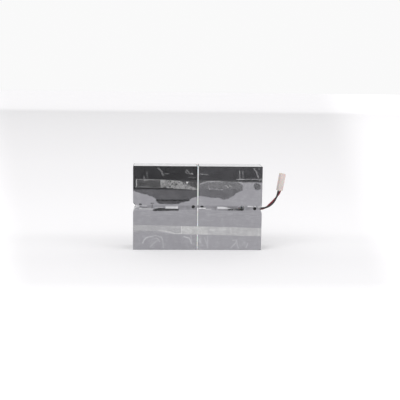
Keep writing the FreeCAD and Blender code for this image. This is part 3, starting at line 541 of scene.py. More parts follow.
def patch(x, z, points, edge, ragged, size, seed):
    """1 in a polygon and 0 outside it, with an edge of that width broken up by noise."""
    depth = distance_to_line(x, z, points, closed=True)
    depth = np.where(inside(x, z, points), depth, -depth)
    return smooth(depth + ragged * rough_noise(x, z, size, seed), -edge, edge)


def stroke(x, z, points, width):
    """A soft line along straight runs: 1 on it and 0 beside it."""
    return np.exp(-(distance_to_line(x, z, points) / width) ** 2)


def strokes(x, z, lines, steady, uneven, size, seed):
    """The strongest of several soft lines, given as line, half width and strength."""
    painted = np.zeros(np.shape(x))
    for i, (line, width, strength) in enumerate(lines):
        broken = steady + uneven * rough_noise(x, z, size, seed + i)
        painted = np.maximum(painted, stroke(x, z, line, width) * strength * broken)
    return painted


def spot(x, z, centre_x, centre_z, radius):
    """A soft round spot: 1 in its middle and 0 away from it."""
    return np.exp(-(np.hypot(x - centre_x, z - centre_z) / radius) ** 2)


def layers_of(haze, crease, shade):
    """The painted layers of a sheet by name, each kept from 0 to 1."""
    return {label: np.clip(values, 0.0, 1.0)
            for label, values in zip(LAYERS, (haze, crease, shade))}


# Zones of the shrink film's front, as (X, Z) in millimetres; their grey is haze and painted
# reflection
UPPER_LEFT_MID = [
    (-153.1, 142.7), (-143.7, 139.2), (-129.5, 134.5), (-115.4, 129.8), (-106, 127),
    (-101.3, 124.2), (-98.4, 120.4), (-95.8, 115.2), (-90.6, 110.7), (-45.7, 110.7),
    (-38.7, 114.8), (-25.7, 117.9), (-17.4, 121.8), (-11.6, 125.4), (-1, 127.9),
    (-1, 145.5), (-89.6, 146.6), (-153.5, 147.7)]
BELOW_SEAM = [(-97.7, 117.8), (-95.8, 114.7), (-90.6, 110.4), (-45.7, 110.7), (-38.7, 114.8),
              (-22.1, 118.2)]
UPPER_LEFT_DARK = [(-154, 202), (-0.5, 202), (-0.5, 144.3), (-89.6, 145), (-154, 144.6)]
UPPER_RIGHT_DARK = [(0.5, 202), (154, 202), (154, 163), (104, 163.2), (54.2, 165.4),
                    (23.4, 165.2), (11.7, 162), (0.5, 157.4)]
UPPER_RIGHT_MID = [
    (0.5, 157.9), (23.4, 164.7), (54.2, 165.4), (92.1, 163.5), (101.7, 160.5), (106.1, 154.5),
    (106.3, 143.8), (102, 142.1), (90.3, 136.3), (79.7, 128.1), (71.5, 124.2), (62.7, 121.8),
    (50.1, 125.1), (26.3, 127.1), (12.1, 128.9), (0.5, 131)]
CLEAR_SPOT = [(133.1, 159.5), (137.3, 161.4), (144.4, 161), (149.3, 154.8), (149, 148.8),
              (142.4, 145.2), (135.2, 146.4), (132.5, 152.3)]

# Painted highlights over the sleeves under the film, and clear windows over the channel
SLEEVE_HIGHLIGHTS = [
    [(-76.5, 105.8), (-47, 106.2), (-46.8, 99.4), (-76.5, 99.2)],
    [(45.9, 105.4), (57.5, 105), (80.2, 100.5), (80.2, 99.1), (46.7, 99.4)]]
CHANNEL_WINDOWS = [
    [(-106.8, 96.9), (-91.7, 100.4), (-77.5, 100.4), (-45.4, 99.2), (-45.8, 94.9), (-105.9, 93.6)],
    [(71.9, 99.5), (94.5, 100.1), (96.8, 102.8), (104.6, 106.7), (110.4, 104.8), (111, 98),
     (107.7, 95.6), (71.9, 96.4)]]
LEFT_END_HIGHLIGHT = [(-152.1, 107.6), (-138.6, 107), (-138, 101.6), (-152.1, 101.4)]

# Painted highlights along the film's folds, partly the folds' own whitening: line, half width and
# strength. First those of the dark upper zones, then the columns' lower corners, then the channel
# and the upper tape's lower edge.
FILM_CREASE_HIGHLIGHTS = [
    ([(-94.6, 195.1), (-89.9, 192.1), (-85.6, 187.4), (-84.6, 180.3), (-81.8, 178.9)], 1.3, 0.27),
    ([(-83.7, 180.3), (-78.1, 182), (-69.1, 182.8)], 1.2, 0.19),
    ([(-120.8, 187.4), (-120.5, 179.1), (-118.9, 170.6)], 1.1, 0.14),
    ([(-127.3, 175.5), (-126.8, 170.1)], 1.3, 0.30),
    ([(-26.3, 183.1), (-29.7, 186.9), (-26.4, 191.1), (-23.3, 188.1), (-21.6, 183.4),
      (-18.3, 182.2)], 1, 0.28),
    ([(-15.7, 183.6), (-13.1, 181.8)], 0.9, 0.70),
    ([(-21.5, 173.9), (-2.7, 174)], 0.8, 0.18),
    ([(3.1, 182.6), (23.2, 181.1)], 0.9, 0.32),
    ([(98, 190.1), (98.9, 170.4)], 1, 0.38),
    ([(105.6, 190.2), (105.8, 170.5)], 1, 0.20),
    ([(90.3, 170.1), (108.6, 170.3)], 0.9, 0.60),
    ([(108.6, 170.5), (151.4, 170.6)], 0.8, 0.42),
    ([(132.3, 196.1), (137.7, 188.1), (142.7, 174.8)], 1.2, 0.46),
    ([(142.2, 196.6), (144.2, 194.8)], 1.4, 0.12),
    ([(145.5, 167.9), (150.9, 171)], 1.4, 0.30),
    ([(-129.7, 17), (-126.9, 23.3), (-122.2, 28.6), (-115.1, 31.3), (-107.5, 32.8)], 1.6, 0.38),
    ([(-109.1, 31.6), (-100.9, 34.7), (-93.7, 33.6), (-89, 30.7)], 1.2, 0.26),
    ([(-87.1, 32.1), (-83.5, 26.3), (-81.8, 16.7), (-80.8, 5.8)], 1.4, 0.28),
    ([(-102, 27.2), (-97.3, 28.2), (-92.3, 25.3), (-89.9, 20.3)], 1.2, 0.28),
    ([(-111.9, 6.9), (-105.5, 14.2), (-98.4, 21), (-91.8, 23.9)], 2, 0.18),
    ([(-107.4, 5.4), (-104.1, 6.2)], 1.4, 0.15),
    ([(-31.9, 32.3), (-24.8, 29.9), (-20, 29), (-16.9, 24.1), (-14.1, 15.7)], 1.5, 0.45),
    ([(-15.3, 34.8), (-13.7, 21.7)], 1.2, 0.24),
    ([(-23.2, 12), (-20.7, 4.7)], 1.4, 0.09),
    ([(3.9, 24.7), (11.7, 11.1)], 1.3, 0.12),
    ([(16.7, 29.6), (21.9, 17), (24.6, 7.3)], 1.3, 0.24),
    ([(24.3, 33.2), (24.9, 5.3)], 1.1, 0.25),
    ([(80.7, 6), (91.5, 17.2), (93.8, 24.5), (95.4, 12.3), (98.5, 5)], 1.5, 0.28),
    ([(84.2, 23.7), (92.3, 24.5)], 1.2, 0.25),
    ([(100.1, 20.9), (102.8, 6)], 1.4, 0.10),
    ([(105.6, 8), (112.1, 20.9), (114.7, 7.5)], 1.4, 0.08),
    ([(116.7, 5.8), (120.8, 16.3)], 1.3, 0.27),
    ([(-101.2, 102.2), (-84.6, 102.3)], 0.9, 0.50),
    ([(-134.2, 98.8), (-106, 98.4)], 1.6, 0.40),
    ([(-138, 99.4), (-133, 100)], 1.2, 0.65),
    ([(-130.5, 106), (-121.6, 106)], 1.7, 0.34),
    ([(84, 98), (90, 97.8)], 1.3, 0.18),
    ([(25.5, 150.4), (27.2, 146.4), (45, 146.5)], 1.1, 0.30),
    ([(47.4, 145.6), (59.2, 145.4)], 0.9, 0.36),
    ([(18.4, 98.3), (31.5, 98.4)], 0.8, 0.58),
    ([(2.4, 100.3), (18, 100.4)], 1.1, 1),
    ([(119.2, 105.6), (124.5, 105.5)], 1.3, 1), ([(124.5, 105.5), (131, 105.4)], 1.1, 0.72),
    ([(135.9, 105.4), (136.6, 105.4)], 1.3, 1)]

# Painted shade of gaps seen through the film, the lid seam and the upper tape's lower edge among
# them: line, half width and strength
FILM_SHADES = [
    ([(-97.5, 119.2), (-21, 119.6)], 2, 1),
    ([(-152.1, 144.3), (-139, 146.1), (-89.6, 145.4), (-47.2, 144.5), (-1.8, 143.6)], 1.3, 0.18),
    ([(-135.6, 104.5), (-132.8, 102.3), (-120, 101.9)], 0.8, 0.75),
    ([(-110.2, 112), (-104.5, 112)], 1.3, 0.8),
    ([(-107.6, 108.4), (-108.2, 100.8)], 0.9, 1),
    ([(-116.5, 105), (-109, 105.2)], 1.2, 0.30),
    ([(41, 101.5), (42.8, 97)], 1.3, 0.30), ([(50, 97.4), (76, 96.4)], 1.9, 0.28),
    ([(72, 103), (93, 102.8)], 1.5, 0.42), ([(103.6, 103.6), (104.4, 98)], 2.3, 1),
    ([(80, 95.2), (108, 95.2)], 1.3, 0.30)]

SEEN_CHANNEL, CHANNEL_HALF = 101.8, 6.5


def channel_veil(z, middle):
    """1 at the channel's height and 0 above and below it."""
    return smooth(CHANNEL_HALF - np.abs(z - middle), 0.0, 2.5)


def front_paint(x, z):
    """Haze with painted reflection, crease highlights and painted shade of the film's front: clear
    at the top, pale grey below.
    """
    haze = 1.0 + 0.05 * rough_noise(x, z, 16.0, 11)
    left = (0.285 - 0.03 * smooth(x, -60.0, -30.0) + 0.05 * rough_noise(x, z, 14.0, 31)
            + 0.03 * rough_noise(x, z * 5, 16.0, 32))
    right = 0.375 + 0.10 * rough_noise(x, z, 11.0, 33)
    top_left = 0.008 + 0.010 * smooth(x, -70.0, -40.0) + 0.03 * rough_noise(x, z, 18.0, 41)
    top_right = 0.095 + 0.04 * rough_noise(x, z, 18.0, 42)
    for outline, level, edge, ragged, size, seed in (
            (UPPER_LEFT_MID, left, 1.6, 2.0, 12.0, 21),
            (BELOW_SEAM, left * 0.62, 1.2, 0.6, 8.0, 25),
            (UPPER_RIGHT_MID, right, 1.6, 2.0, 12.0, 22),
            (CLEAR_SPOT, right, 1.4, 2.0, 6.0, 26),
            (UPPER_LEFT_DARK, top_left, 1.4, 0.8, 8.0, 23),
            (UPPER_RIGHT_DARK, top_right, 1.0, 0.6, 8.0, 24)):
        haze = blend_to(haze, level, patch(x, z, outline, edge, ragged, size, seed))
    veil = 0.80 + 0.14 * rough_noise(x, z * 2.0, 9.0, 51)
    haze = blend_to(haze, veil, channel_veil(z, SEEN_CHANNEL))
    for i, window in enumerate(CHANNEL_WINDOWS):
        haze = blend_to(haze, 0.06, patch(x, z, window, 0.8, 0.6, 5.0, 55 + i))
    crease = strokes(x, z, FILM_CREASE_HIGHLIGHTS, 0.75, 0.45, 5.0, 200)
    # Painted highlight at the film's drawn-in left end
    bright = 0.62 - 0.30 * smooth(x, -150.0, -139.0) + 0.2 * rough_noise(x, z, 4.0, 60)
    crease = np.maximum(crease, bright * patch(x, z, LEFT_END_HIGHLIGHT, 1.2, 1.0, 5.0, 59))
    # Painted highlights over the sleeves, which lie in shade in the channel
    sleeve_highlights = (
        0.30 + 0.32 * smooth(-z, -105.4, -102.8) + 0.14 * smooth(x, -54.0, -48.0),
        0.68 * (1.0 - 0.75 * smooth(x, 60.0, 84.0)) * smooth(-z, -106.0, -103.0))
    for i, (window, fade) in enumerate(zip(SLEEVE_HIGHLIGHTS, sleeve_highlights)):
        crease = np.maximum(crease, fade * patch(x, z, window, 0.8, 0.3, 5.0, 61 + i))
    shade = strokes(x, z, FILM_SHADES, 0.85, 0.3, 7.0, 300)
    # Ripples below the channel and blotches beside the gap's foot, painted as highlights and shade
    ripple = lattice_noise(x, z * 8.0, 13.0, 401) * smooth(z, 79.5, 82.0) * smooth(-z, -93.5, -91.0)
    near_gap = np.exp(-((np.abs(x) - 8.0) / 7.0) ** 2) * smooth(-z, -36.0, -30.0)
    blotch = rough_noise(x, z, 7.0, 402) * near_gap
    crease = crease + 0.10 * np.clip(ripple, 0, 1) + 0.22 * np.clip(blotch, 0, 1)
    shade = shade + 0.07 * np.clip(-ripple, 0, 1) + 0.05 * np.clip(-blotch, 0, 1)
    # Painted light: lighter towards the bottom of the right half, darker on the left half from
    # about 40 mm up
    crease = crease + 0.045 * smooth(-z, -50.0, -25.0) * smooth(x, 0.0, 3.0)
    shade = np.maximum(shade, 0.045 * smooth(-x, 0.0, 3.0) * smooth(z, 38.0, 52.0))
    # Painted shade along the film's top edge
    top_edge_shade = 0.5 * np.exp(-((FILM_HEIGHT - z) / 1.6) ** 2)
    return layers_of(haze, crease, np.maximum(shade, top_edge_shade))


def back_paint(x, z):
    """Haze with painted reflection, crease highlights and painted shade of the film's back, clear
    towards the top as the front is.
    """
    border = 128.0 + 16.0 * lattice_noise(x, x * 0 + 3.0, 46.0, 501)
    border = border + 5.0 * lattice_noise(x, x * 0 + 9.0, 15.0, 502)
    upper = border + 27.0 + 6.0 * lattice_noise(x, x * 0 + 5.0, 30.0, 503)
    haze = 1.0 + 0.05 * rough_noise(x, z, 16.0, 504)
    haze = blend_to(haze, 0.36 + 0.06 * rough_noise(x, z, 14.0, 505), smooth(z - border, -2.0, 2.0))
    haze = blend_to(haze, 0.07 + 0.05 * rough_noise(x, z, 18.0, 506), smooth(z - upper, -1.5, 1.5))
    veil = 0.99 + 0.05 * rough_noise(x, z * 2.0, 9.0, 507)
    haze = blend_to(haze, veil, channel_veil(z, SEEN_CHANNEL - 0.5))
    veins = np.abs(rough_noise(x, z, 34.0, 508))
    patchy = smooth(rough_noise(x, z, 55.0, 509), 0.05, 0.45)
    crease = 0.30 * np.exp(-(veins / 0.025) ** 2) * patchy
    fold = z - 63.0 - 2.0 * lattice_noise(x, z * 0, 60.0, 510)
    crease = crease + 0.25 * np.exp(-(fold / 0.9) ** 2)
    ripple = lattice_noise(x, z * 8.0, 13.0, 511) * smooth(12.0 - np.abs(z - 88.0), 0.0, 2.0)
    return layers_of(haze, crease + 0.10 * np.clip(ripple, 0, 1), 0.07 * np.clip(-ripple, 0, 1))


def plain_paint(first, second, seed, whiteness=0.14):
    """Haze, crease whitening with painted highlights, and shade of a narrow face of the film."""
    haze = 0.95 + 0.08 * rough_noise(first, second, 22.0, seed)
    veins = np.abs(rough_noise(first, second, 26.0, seed + 3))
    crease = whiteness + 0.25 * np.exp(-(veins / 0.03) ** 2)
    crease = crease + 0.06 * rough_noise(first, second, 9.0, seed + 5)
    return layers_of(haze, crease, np.zeros(np.shape(first)))


# Sheets

def grid(first, second):
    """Two runs of values over a grid."""
    return np.meshgrid(first, second, indexing="ij")


def grid_quads(first, second, round_first=False, round_second=False):
    """The four-cornered faces of a grid of points, closed round where asked."""
    i, j = grid(np.arange(first - (not round_first)), np.arange(second - (not round_second)))
    i, j = i.ravel(), j.ravel()
    k, m = (i + 1) % first, (j + 1) % second
    return np.stack([i * second + j, k * second + j, k * second + m, i * second + m], -1)


def grid_points(x, y, z):
    """A grid's points in one list."""
    return np.stack([x, y, z], -1).reshape(-1, 3)


def sheet_piece(name, points, quads, layers, finish, nodes):
    """A thin sheet in millimetres with its painted layers, as a piece of the cartridge."""
    used = np.unique(quads)
    renumber = np.zeros(len(points), int)
    renumber[used] = np.arange(len(used))
    mesh = bpy.data.meshes.new(name)
    mesh.from_pydata((points[used] * MM).tolist(), [], renumber[quads].tolist())
    for label, values in layers.items():
        layer = mesh.attributes.new(label, "FLOAT", "POINT")
        layer.data.foreach_set("value", values.reshape(-1)[used].astype(np.float32))
    mesh.shade_smooth()
    mesh.materials.append(FINISHES[finish])
    piece = new_object(name, mesh)
    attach(piece, BODY)
    if nodes:
        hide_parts(*nodes)
    return piece


# Shrink film

FILM_HALF_LENGTH = 75.8
FILM_CENTRE = 77.3
FILM_HALF_DEPTH = 32.8
FILM_HEIGHT = 200.6
FILM_LIP = 14.0
FILM_EDGE_RADIUS = 0.8
FILM_END_RADIUS = 2.3
NOTCH_HALF = 13.0
CHANNEL_MIDDLE = 100.3
FRONT, TOP, BACK, UNDERSIDE = range(4)
FACE_STEPS = {FRONT: 200, TOP: 22, BACK: 100, UNDERSIDE: 22}
EDGE_STEPS = 3
LENGTH_LINES, LIP_LINES = 149, 10
# Vent holes as place, half width and half height: slack film has pulled two of them flat
HOLES = {-1: [(-135.7, 109.7, 3.9, 1.5), (-10.7, 104.0, 3.9, 3.9)],
         1: [(10.0, 104.6, 3.9, 2.4), (135.6, 100.3, 3.8, 3.8)]}

TAPE_WIDTH = 20.0
# Bands that the tape covers, as middle height at X = 0 and slope
TAPES = {"lower": (47.0, -0.0207), "upper": (157.7, -0.012)}


def film_ring():
    """The film's line round the column, front face first and upwards, as (y, z, face)."""
    r, depth, height = FILM_EDGE_RADIUS, FILM_HALF_DEPTH, FILM_HEIGHT
    corners = [(-depth + r, height - r, math.pi), (depth - r, height - r, math.pi / 2),
               (depth - r, r, 0.0), (-depth + r, r, -math.pi / 2)]
    starts = [(-depth, r), (-depth + r, height), (depth, height - r), (depth - r, 0.0)]
    ends = [(-depth, height - r), (depth - r, height), (depth, r), (-depth + r, 0.0)]
    ring = []
    for face, count in FACE_STEPS.items():
        for t in np.arange(count) / count:
            ring.append((blend_to(starts[face][0], ends[face][0], t),
                         blend_to(starts[face][1], ends[face][1], t), face))
        cy, cz, angle = corners[face]
        for i in range(EDGE_STEPS):
            turn = angle - math.pi / 2 * i / EDGE_STEPS
            ring.append((cy + r * math.cos(turn), cz + r * math.sin(turn), face))
    return np.array(ring)


def film_columns():
    """The film's lines along the column, as (x from its centre, inset): lip, end and length."""
    half, r = FILM_HALF_LENGTH, FILM_END_RADIUS
    lip = [(half, r + (FILM_LIP - r) * t) for t in np.linspace(1.0, 0.1, LIP_LINES)]
    lip += [(half - r + r * math.cos(a), r - r * math.sin(a))
            for a in (0.0, math.pi / 6, math.pi / 3)]
    body = [(x, 0.0) for x in np.linspace(-half + r, half - r, LENGTH_LINES)]
    return np.array([(-x, inset) for x, inset in lip] + body + lip[::-1])


def under_tape(x, z):
    """1 where a tape band lies over the film and 0 elsewhere."""
    return np.maximum(*(smooth(TAPE_WIDTH / 2 + 3.0 - np.abs(z - middle - slope * x), 0.0, 2.0)
                        for middle, slope in TAPES.values()))


def channel_tuck(x, z):
    """How far the film is drawn in along X at the channel's ends."""
    left = np.interp(z, [90.0, 93.4, 99.9, 107.3, 113.9], [0.0, 0.6, 5.3, 5.3, 0.0])
    right = np.interp(z, [88.0, 90.0, 96.1, 99.2, 102.5, 106.0], [0.0, 0.6, 2.6, 5.0, 2.0, 0.0])
    return np.where(x < 0, left, right)


def film_column(name, side, node):
    """One column's shrink film as a tube round X, its ends turned over the blocks."""
    ring, columns = film_ring(), film_columns()
    x, y0 = grid(columns[:, 0], ring[:, 0])
    inset, z0 = grid(columns[:, 1], ring[:, 1])
    face = grid(columns[:, 0], ring[:, 2])[1].astype(int)
    middle = FILM_HEIGHT / 2
    y = y0 * (FILM_HALF_DEPTH - inset) / FILM_HALF_DEPTH
    z = middle + (z0 - middle) * (middle - inset) / middle
    place_x = x + side * FILM_CENTRE
    lip = inset > FILM_END_RADIUS + 0.01
    # The top's crease whiteness of 0.60 is a painted reflection of the bright surroundings
    painted = {FRONT: front_paint(place_x, z), TOP: plain_paint(place_x, y, 61, 0.60),
               BACK: back_paint(place_x, z), UNDERSIDE: plain_paint(place_x, y, 81)}
    ends = plain_paint(y + 90.0 * side, z, 91)
    layers = {label: np.where(lip, ends[label],
                              np.choose(face, [paint[label] for paint in painted.values()]))
              for label in LAYERS}
    # Puckers run inwards across the turned-over ends
    around = np.where((face == FRONT) | (face == BACK), z0, y0 + 400.0)
    pucker = lattice_noise(around + face * 37.0, inset * 0.35, 5.5, 601 + side)
    layers["crease"] = np.clip(layers["crease"] + lip * 0.35 * np.clip(pucker, 0, 1), 0, 1)
    layers["haze"] = np.clip(layers["haze"] - lip * 0.25 * np.clip(-pucker, 0, 1), 0, 1)
    drawn_in = (0.25 + 0.9 * np.clip(inset / FILM_LIP, 0.0, 1.0)) * (0.5 + 0.5 * pucker)
    drawn_in = np.sign(x) * drawn_in * smooth(inset, 1.0, 5.0)
    # Ridges and slack of the long faces, less under the tape
    loose = 1.0 - under_tape(place_x, z)
    waves = (rough_noise(place_x, z, 30.0, 611) * 0.10
             + rough_noise(place_x, z * 3.0, 12.0, 612) * 0.05)
    sag = -0.75 * smooth(5.8 - np.abs(z - CHANNEL_MIDDLE), 0.0, 4.5)
    sag = sag * (1.0 + 0.35 * lattice_noise(place_x, z, 17.0, 613))
    lift = np.clip((waves + 0.05 + 0.14 * layers["crease"]) * loose + sag, -1.2, 0.22)
    flat = inset <= 0.0
    y = y + flat * lift * (0.9 * (face == BACK) - 1.0 * (face == FRONT))
    z = z + flat * (face == TOP) * 0.10 * (rough_noise(place_x, y, 26.0, 614) - 1.0)
    reach = np.clip((np.abs(x) - (FILM_HALF_LENGTH - 13.0)) / 12.0, 0.0, 1.0) ** 2
    outer = np.sign(x) == side
    place_x = place_x - drawn_in - side * channel_tuck(place_x, z) * reach * outer
    points = grid_points(place_x, y, z)
    quads = grid_quads(*x.shape, round_second=True)
    in_lip = (inset.ravel()[quads] >= FILM_END_RADIUS - 1e-6).all(1)
    in_notch = np.abs(points[quads, 2].mean(1) - CHANNEL_MIDDLE) < NOTCH_HALF
    points, quads = cut_holes(points, quads[~(in_lip & in_notch)], HOLES[side])
    sheet_piece(name, points, quads, layers, "film", [node])


def cut_holes(points, quads, holes):
    """Cut vent holes in the front and back and pull their rims onto smooth curves."""
    for hole_x, hole_z, half_width, half_height in holes:
        across = (points[:, 0] - hole_x) / half_width
        upwards = (points[:, 2] - hole_z) / half_height
        radius = np.hypot(across, upwards)
        broad = np.abs(points[:, 1]) > FILM_HALF_DEPTH - 2.5
        gone = ((radius[quads] < 1.0).any(1)) & broad[quads].all(1)
        rim = np.unique(quads[gone])
        quads = quads[~gone]
        rim = rim[np.isin(rim, quads)]
        turn = np.arctan2(upwards[rim], across[rim])
        points[rim, 0] = hole_x + half_width * np.cos(turn)
        points[rim, 2] = hole_z + half_height * np.sin(turn)
    return points, quads


def film_fold(name, first, second, place, whiteness):
    """A loose fold of film: a small sheet over two runs of values, placed by a function; its
    whiteness is painted light.
    """
    a, b = grid(first, second)
    layers = layers_of(np.full(a.shape, 0.9), whiteness(a, b), np.zeros(a.shape))
    sheet_piece(name, grid_points(*place(a, b)), grid_quads(*a.shape), layers, "film", [])


GAP_FOLD_DEPTH = 32.35
LINING_HEIGHT = 94.85
LINING_BEND = -151.6


def gap_fold_place(x, z):
    """The film drawn over the gap between the columns at the channel."""
    return x, -GAP_FOLD_DEPTH + 0.2 * lattice_noise(x, z, 3.0, 621) + 0.12 * np.abs(x), z


def channel_lining_place(x, y):
    """The film on the lower lid at the channel's left end, bent down over its edge."""
    bend = np.clip(LINING_BEND - x, 0.0, 1.5)
    return x, y, LINING_HEIGHT + 0.15 * lattice_noise(x, y, 6.0, 622) - 0.6 * bend ** 2


film_column("left_shrink_film", -1, "film_left")
film_column("right_shrink_film", 1, "film_right")
# The gap fold's lower part is a painted highlight
film_fold("gap_fold_painted_light", np.linspace(-1.45, 1.45, 6), np.linspace(93.0, 107.6, 24), gap_fold_place,
          lambda x, z: 0.1 + 0.8 * smooth(-z, -102.4, -101.2))
# The channel lining is painted near white, a painted highlight at the channel's open left end
film_fold("channel_lining_painted_light", np.linspace(-152.7, -142.0, 16), np.linspace(-31.6, 31.6, 40),
          channel_lining_place, lambda x, y: 0.8 + 0.2 * rough_noise(x, y, 5.0, 623))


# Tape bands

PACK_HALF_LENGTH = 153.1
TAPE_STAND = 0.13
SPLICE_STAND = 0.30
TAPE_ROWS, SPLICE_ROWS = 21, 25
TURN_POINTS = 7
SPLICE_STEP = 0.8
BUBBLE_DENSITY = 80000.0
SMALLEST_BUBBLE = 0.00025
LOWER_TAPE_WHITE = [
    (-160, 62), (40, 62), (40, 36.6), (-39.1, 36.6), (-53.4, 37.1), (-62.9, 41.1),
    (-71.3, 44), (-89.1, 46.6), (-108, 45.1), (-136.4, 45.7), (-160, 45.4)]
LOWER_TAPE_EDGE = [(-92, 46.4), (-80, 45.2), (-71.3, 43.6), (-62.9, 41.4), (-54, 39.2),
                   (-41, 38.9)]
UPPER_TAPE_WHITE = [(-89, 169.3), (-55.6, 168), (-39.1, 164), (-34.3, 158.6), (-19, 154.6),
                    (-2.3, 146.9), (-2.3, 138), (-89, 140)]
LEFT_TAPE_FOOT = [(-141.3, 152.2), (-122.6, 152.6), (-94.3, 149.9), (-88.5, 152.3), (-88.4, 147.1),
                  (-141.3, 147.3)]
LEFT_TAPE_SHADE = [(-137.8, 160.1), (-121.4, 159.5), (-117.9, 162.6)]
# How much steeper an overlapped end runs downhill than its band
SPLICE_TILTS = {"lower": 0.0, "upper": 0.05}
# Clear air under the upper overlap as place and radius, darkened by painted shade, and painted
# glints with their strength
DARK_BUBBLES = [(-65, 163.6, 1.6), (-60, 158.5, 1.8), (-51.5, 157.1, 2.6), (-69.9, 156, 1.8),
                (-65.6, 151.3, 2.4), (-78.3, 149.6, 3), (-34.4, 164.1, 1.6), (-30.4, 162.7, 1.6),
                (-45, 162.1, 1.4)]
BUBBLE_GLINTS = [(-43.8, 165, 1.4, 0.4), (-25.9, 161.8, 2, 0.95), (-22.1, 164.4, 1.4, 0.5),
                  (-38, 161, 1.2, 0.3)]
# Painted highlights along the tapes' creases and edges: line, half width and strength
TAPE_CREASE_HIGHLIGHTS = {
    "upper": [
        ([(-145.1, 169.5), (-145.1, 149)], 1.1, 0.48),
        ([(-145, 169), (-120, 168.8), (-89, 167.3)], 0.8, 0.29),
        ([(3.4, 158.4), (11.7, 161.3), (23.4, 164.2), (51.8, 165.1), (56.6, 162.8)], 0.9, 0.28),
        ([(64.3, 153.1), (67.1, 156.2), (70, 151.4)], 1, 0.40),
        ([(72.9, 151.9), (75.7, 155.8), (78.6, 152.4)], 1, 0.32),
        ([(24.8, 155), (42.5, 156), (56.7, 154.2)], 1.4, 0.05),
        ([(-126.1, 166.1), (-125.1, 166.1)], 1.3, 0.33),
        ([(-120.2, 166.1), (-119, 166.6)], 1.3, 0.25),
        ([(150.5, 163), (151, 146)], 2.6, 0.08),
        ([(95.5, 163.4), (101.3, 162.4), (107, 159)], 1.1, 0.24),
        ([(113, 161), (112, 147)], 2.2, 0.12), ([(123, 160.5), (123.6, 149)], 2, 0.11),
        ([(130, 161), (130, 150)], 1.8, 0.12)],
    "lower": [
        (LOWER_TAPE_EDGE, 1.6, 0.42), ([(145.7, 52.6), (145.9, 33)], 2, 0.12),
        ([(78.5, 53), (80, 43)], 2, 0.14), ([(90, 39), (95, 37.5)], 3, 0.10),
        ([(30, 48.5), (40, 48)], 2.4, 0.28), ([(50, 50.5), (66, 50)], 2.6, 0.18),
        ([(-141, 52.7), (-133, 52.7)], 2.6, 0.06)]}


def tape_loop(stand):
    """A tape's closed line round the pack from its front left corner, as (x, y)."""
    half, depth, r = PACK_HALF_LENGTH + stand, FILM_HALF_DEPTH + stand, FILM_END_RADIUS + stand
    corners = [(-half + r, -depth + r, math.pi), (half - r, -depth + r, 1.5 * math.pi),
               (half - r, depth - r, 0.0), (-half + r, depth - r, 0.5 * math.pi)]
    sides = [((-half + r, -depth), (half - r, -depth), 304),
             ((half, -depth + r), (half, depth - r), 22),
             ((half - r, depth), (-half + r, depth), 152),
             ((-half, depth - r), (-half, -depth + r), 22)]
    loop = []
    for (cx, cy, angle), (start, end, count) in zip(corners, sides):
        for i in range(TURN_POINTS):
            turn = angle + math.pi / 2 * i / (TURN_POINTS - 1)
            loop.append((cx + r * math.cos(turn), cy + r * math.sin(turn)))
        loop += np.linspace(start, end, count)[1:-1].tolist()
    return np.array(loop)


def tape_paint(band, x, z, along, front):
    """Haze, crease highlights and painted shade of a tape band."""
    shade = np.zeros(np.shape(x))
    if band == "lower":
        haze = 0.43 + 0.05 * rough_noise(x, z, 12.0, 701)
        haze = blend_to(haze, 0.61 + 0.06 * rough_noise(x, z, 14.0, 702), smooth(x, -40.0, -38.0))
        white = patch(x, z, LOWER_TAPE_WHITE, 1.4, 1.6, 9.0, 703)
        haze = blend_to(0.05, haze, np.maximum(white, smooth(x, 20.0, 24.0)))
    else:
        haze = 0.068 + 0.04 * rough_noise(x, z, 11.0, 711)
        haze = haze + 0.12 * patch(x, z, LEFT_TAPE_FOOT, 1.2, 1.6, 8.0, 712)
        haze = haze * (1.0 - 0.7 * smooth(x, 100.0, 108.0)) * smooth(x, -147.5, -145.5)
        haze = haze * (1.0 - 0.55 * smooth(x, -88.0, -86.0) * smooth(-x, 0.0, 2.0))
        shade = 0.18 * stroke(x, z, LEFT_TAPE_SHADE, 1.5) + 0.08 * smooth(x, 100.0, 108.0)
    crease = strokes(x, z, TAPE_CREASE_HIGHLIGHTS[band], 0.8, 0.4, 4.0, 720)
    elsewhere = (0.38 + 0.22 * rough_noise(along, z, 24.0, 731)
                 + 0.10 * rough_noise(along, z, 6.0, 732))
    veins = 0.25 * smooth(rough_noise(along, z, 9.0, 733), 0.35, 0.5)
    return layers_of(np.where(front, haze, elsewhere), np.where(front, crease, veins),
                     front * shade)


def tape_band(band, node):
    """A band of clear tape round both columns, a closed loop that runs slightly downhill."""
    loop = tape_loop(TAPE_STAND)
    middle, slope = TAPES[band]
    x, across = grid(loop[:, 0], np.linspace(-TAPE_WIDTH / 2, TAPE_WIDTH / 2, TAPE_ROWS))
    y = grid(loop[:, 1], across[0])[0]
    steps = np.hypot(*(np.diff(values, append=values[0]) for values in loop.T))
    along = grid(np.cumsum(steps) - steps[0], across[0])[0]
    z = middle + slope * x + across + 0.35 * lattice_noise(along, across * 0.05, 45.0, 741)
    front = y < -FILM_HALF_DEPTH + 3.0
    sheet_piece(band + "_tape_band", grid_points(x, y, z), grid_quads(*x.shape, round_first=True),
                tape_paint(band, x, z, along, front), "tape", [node])


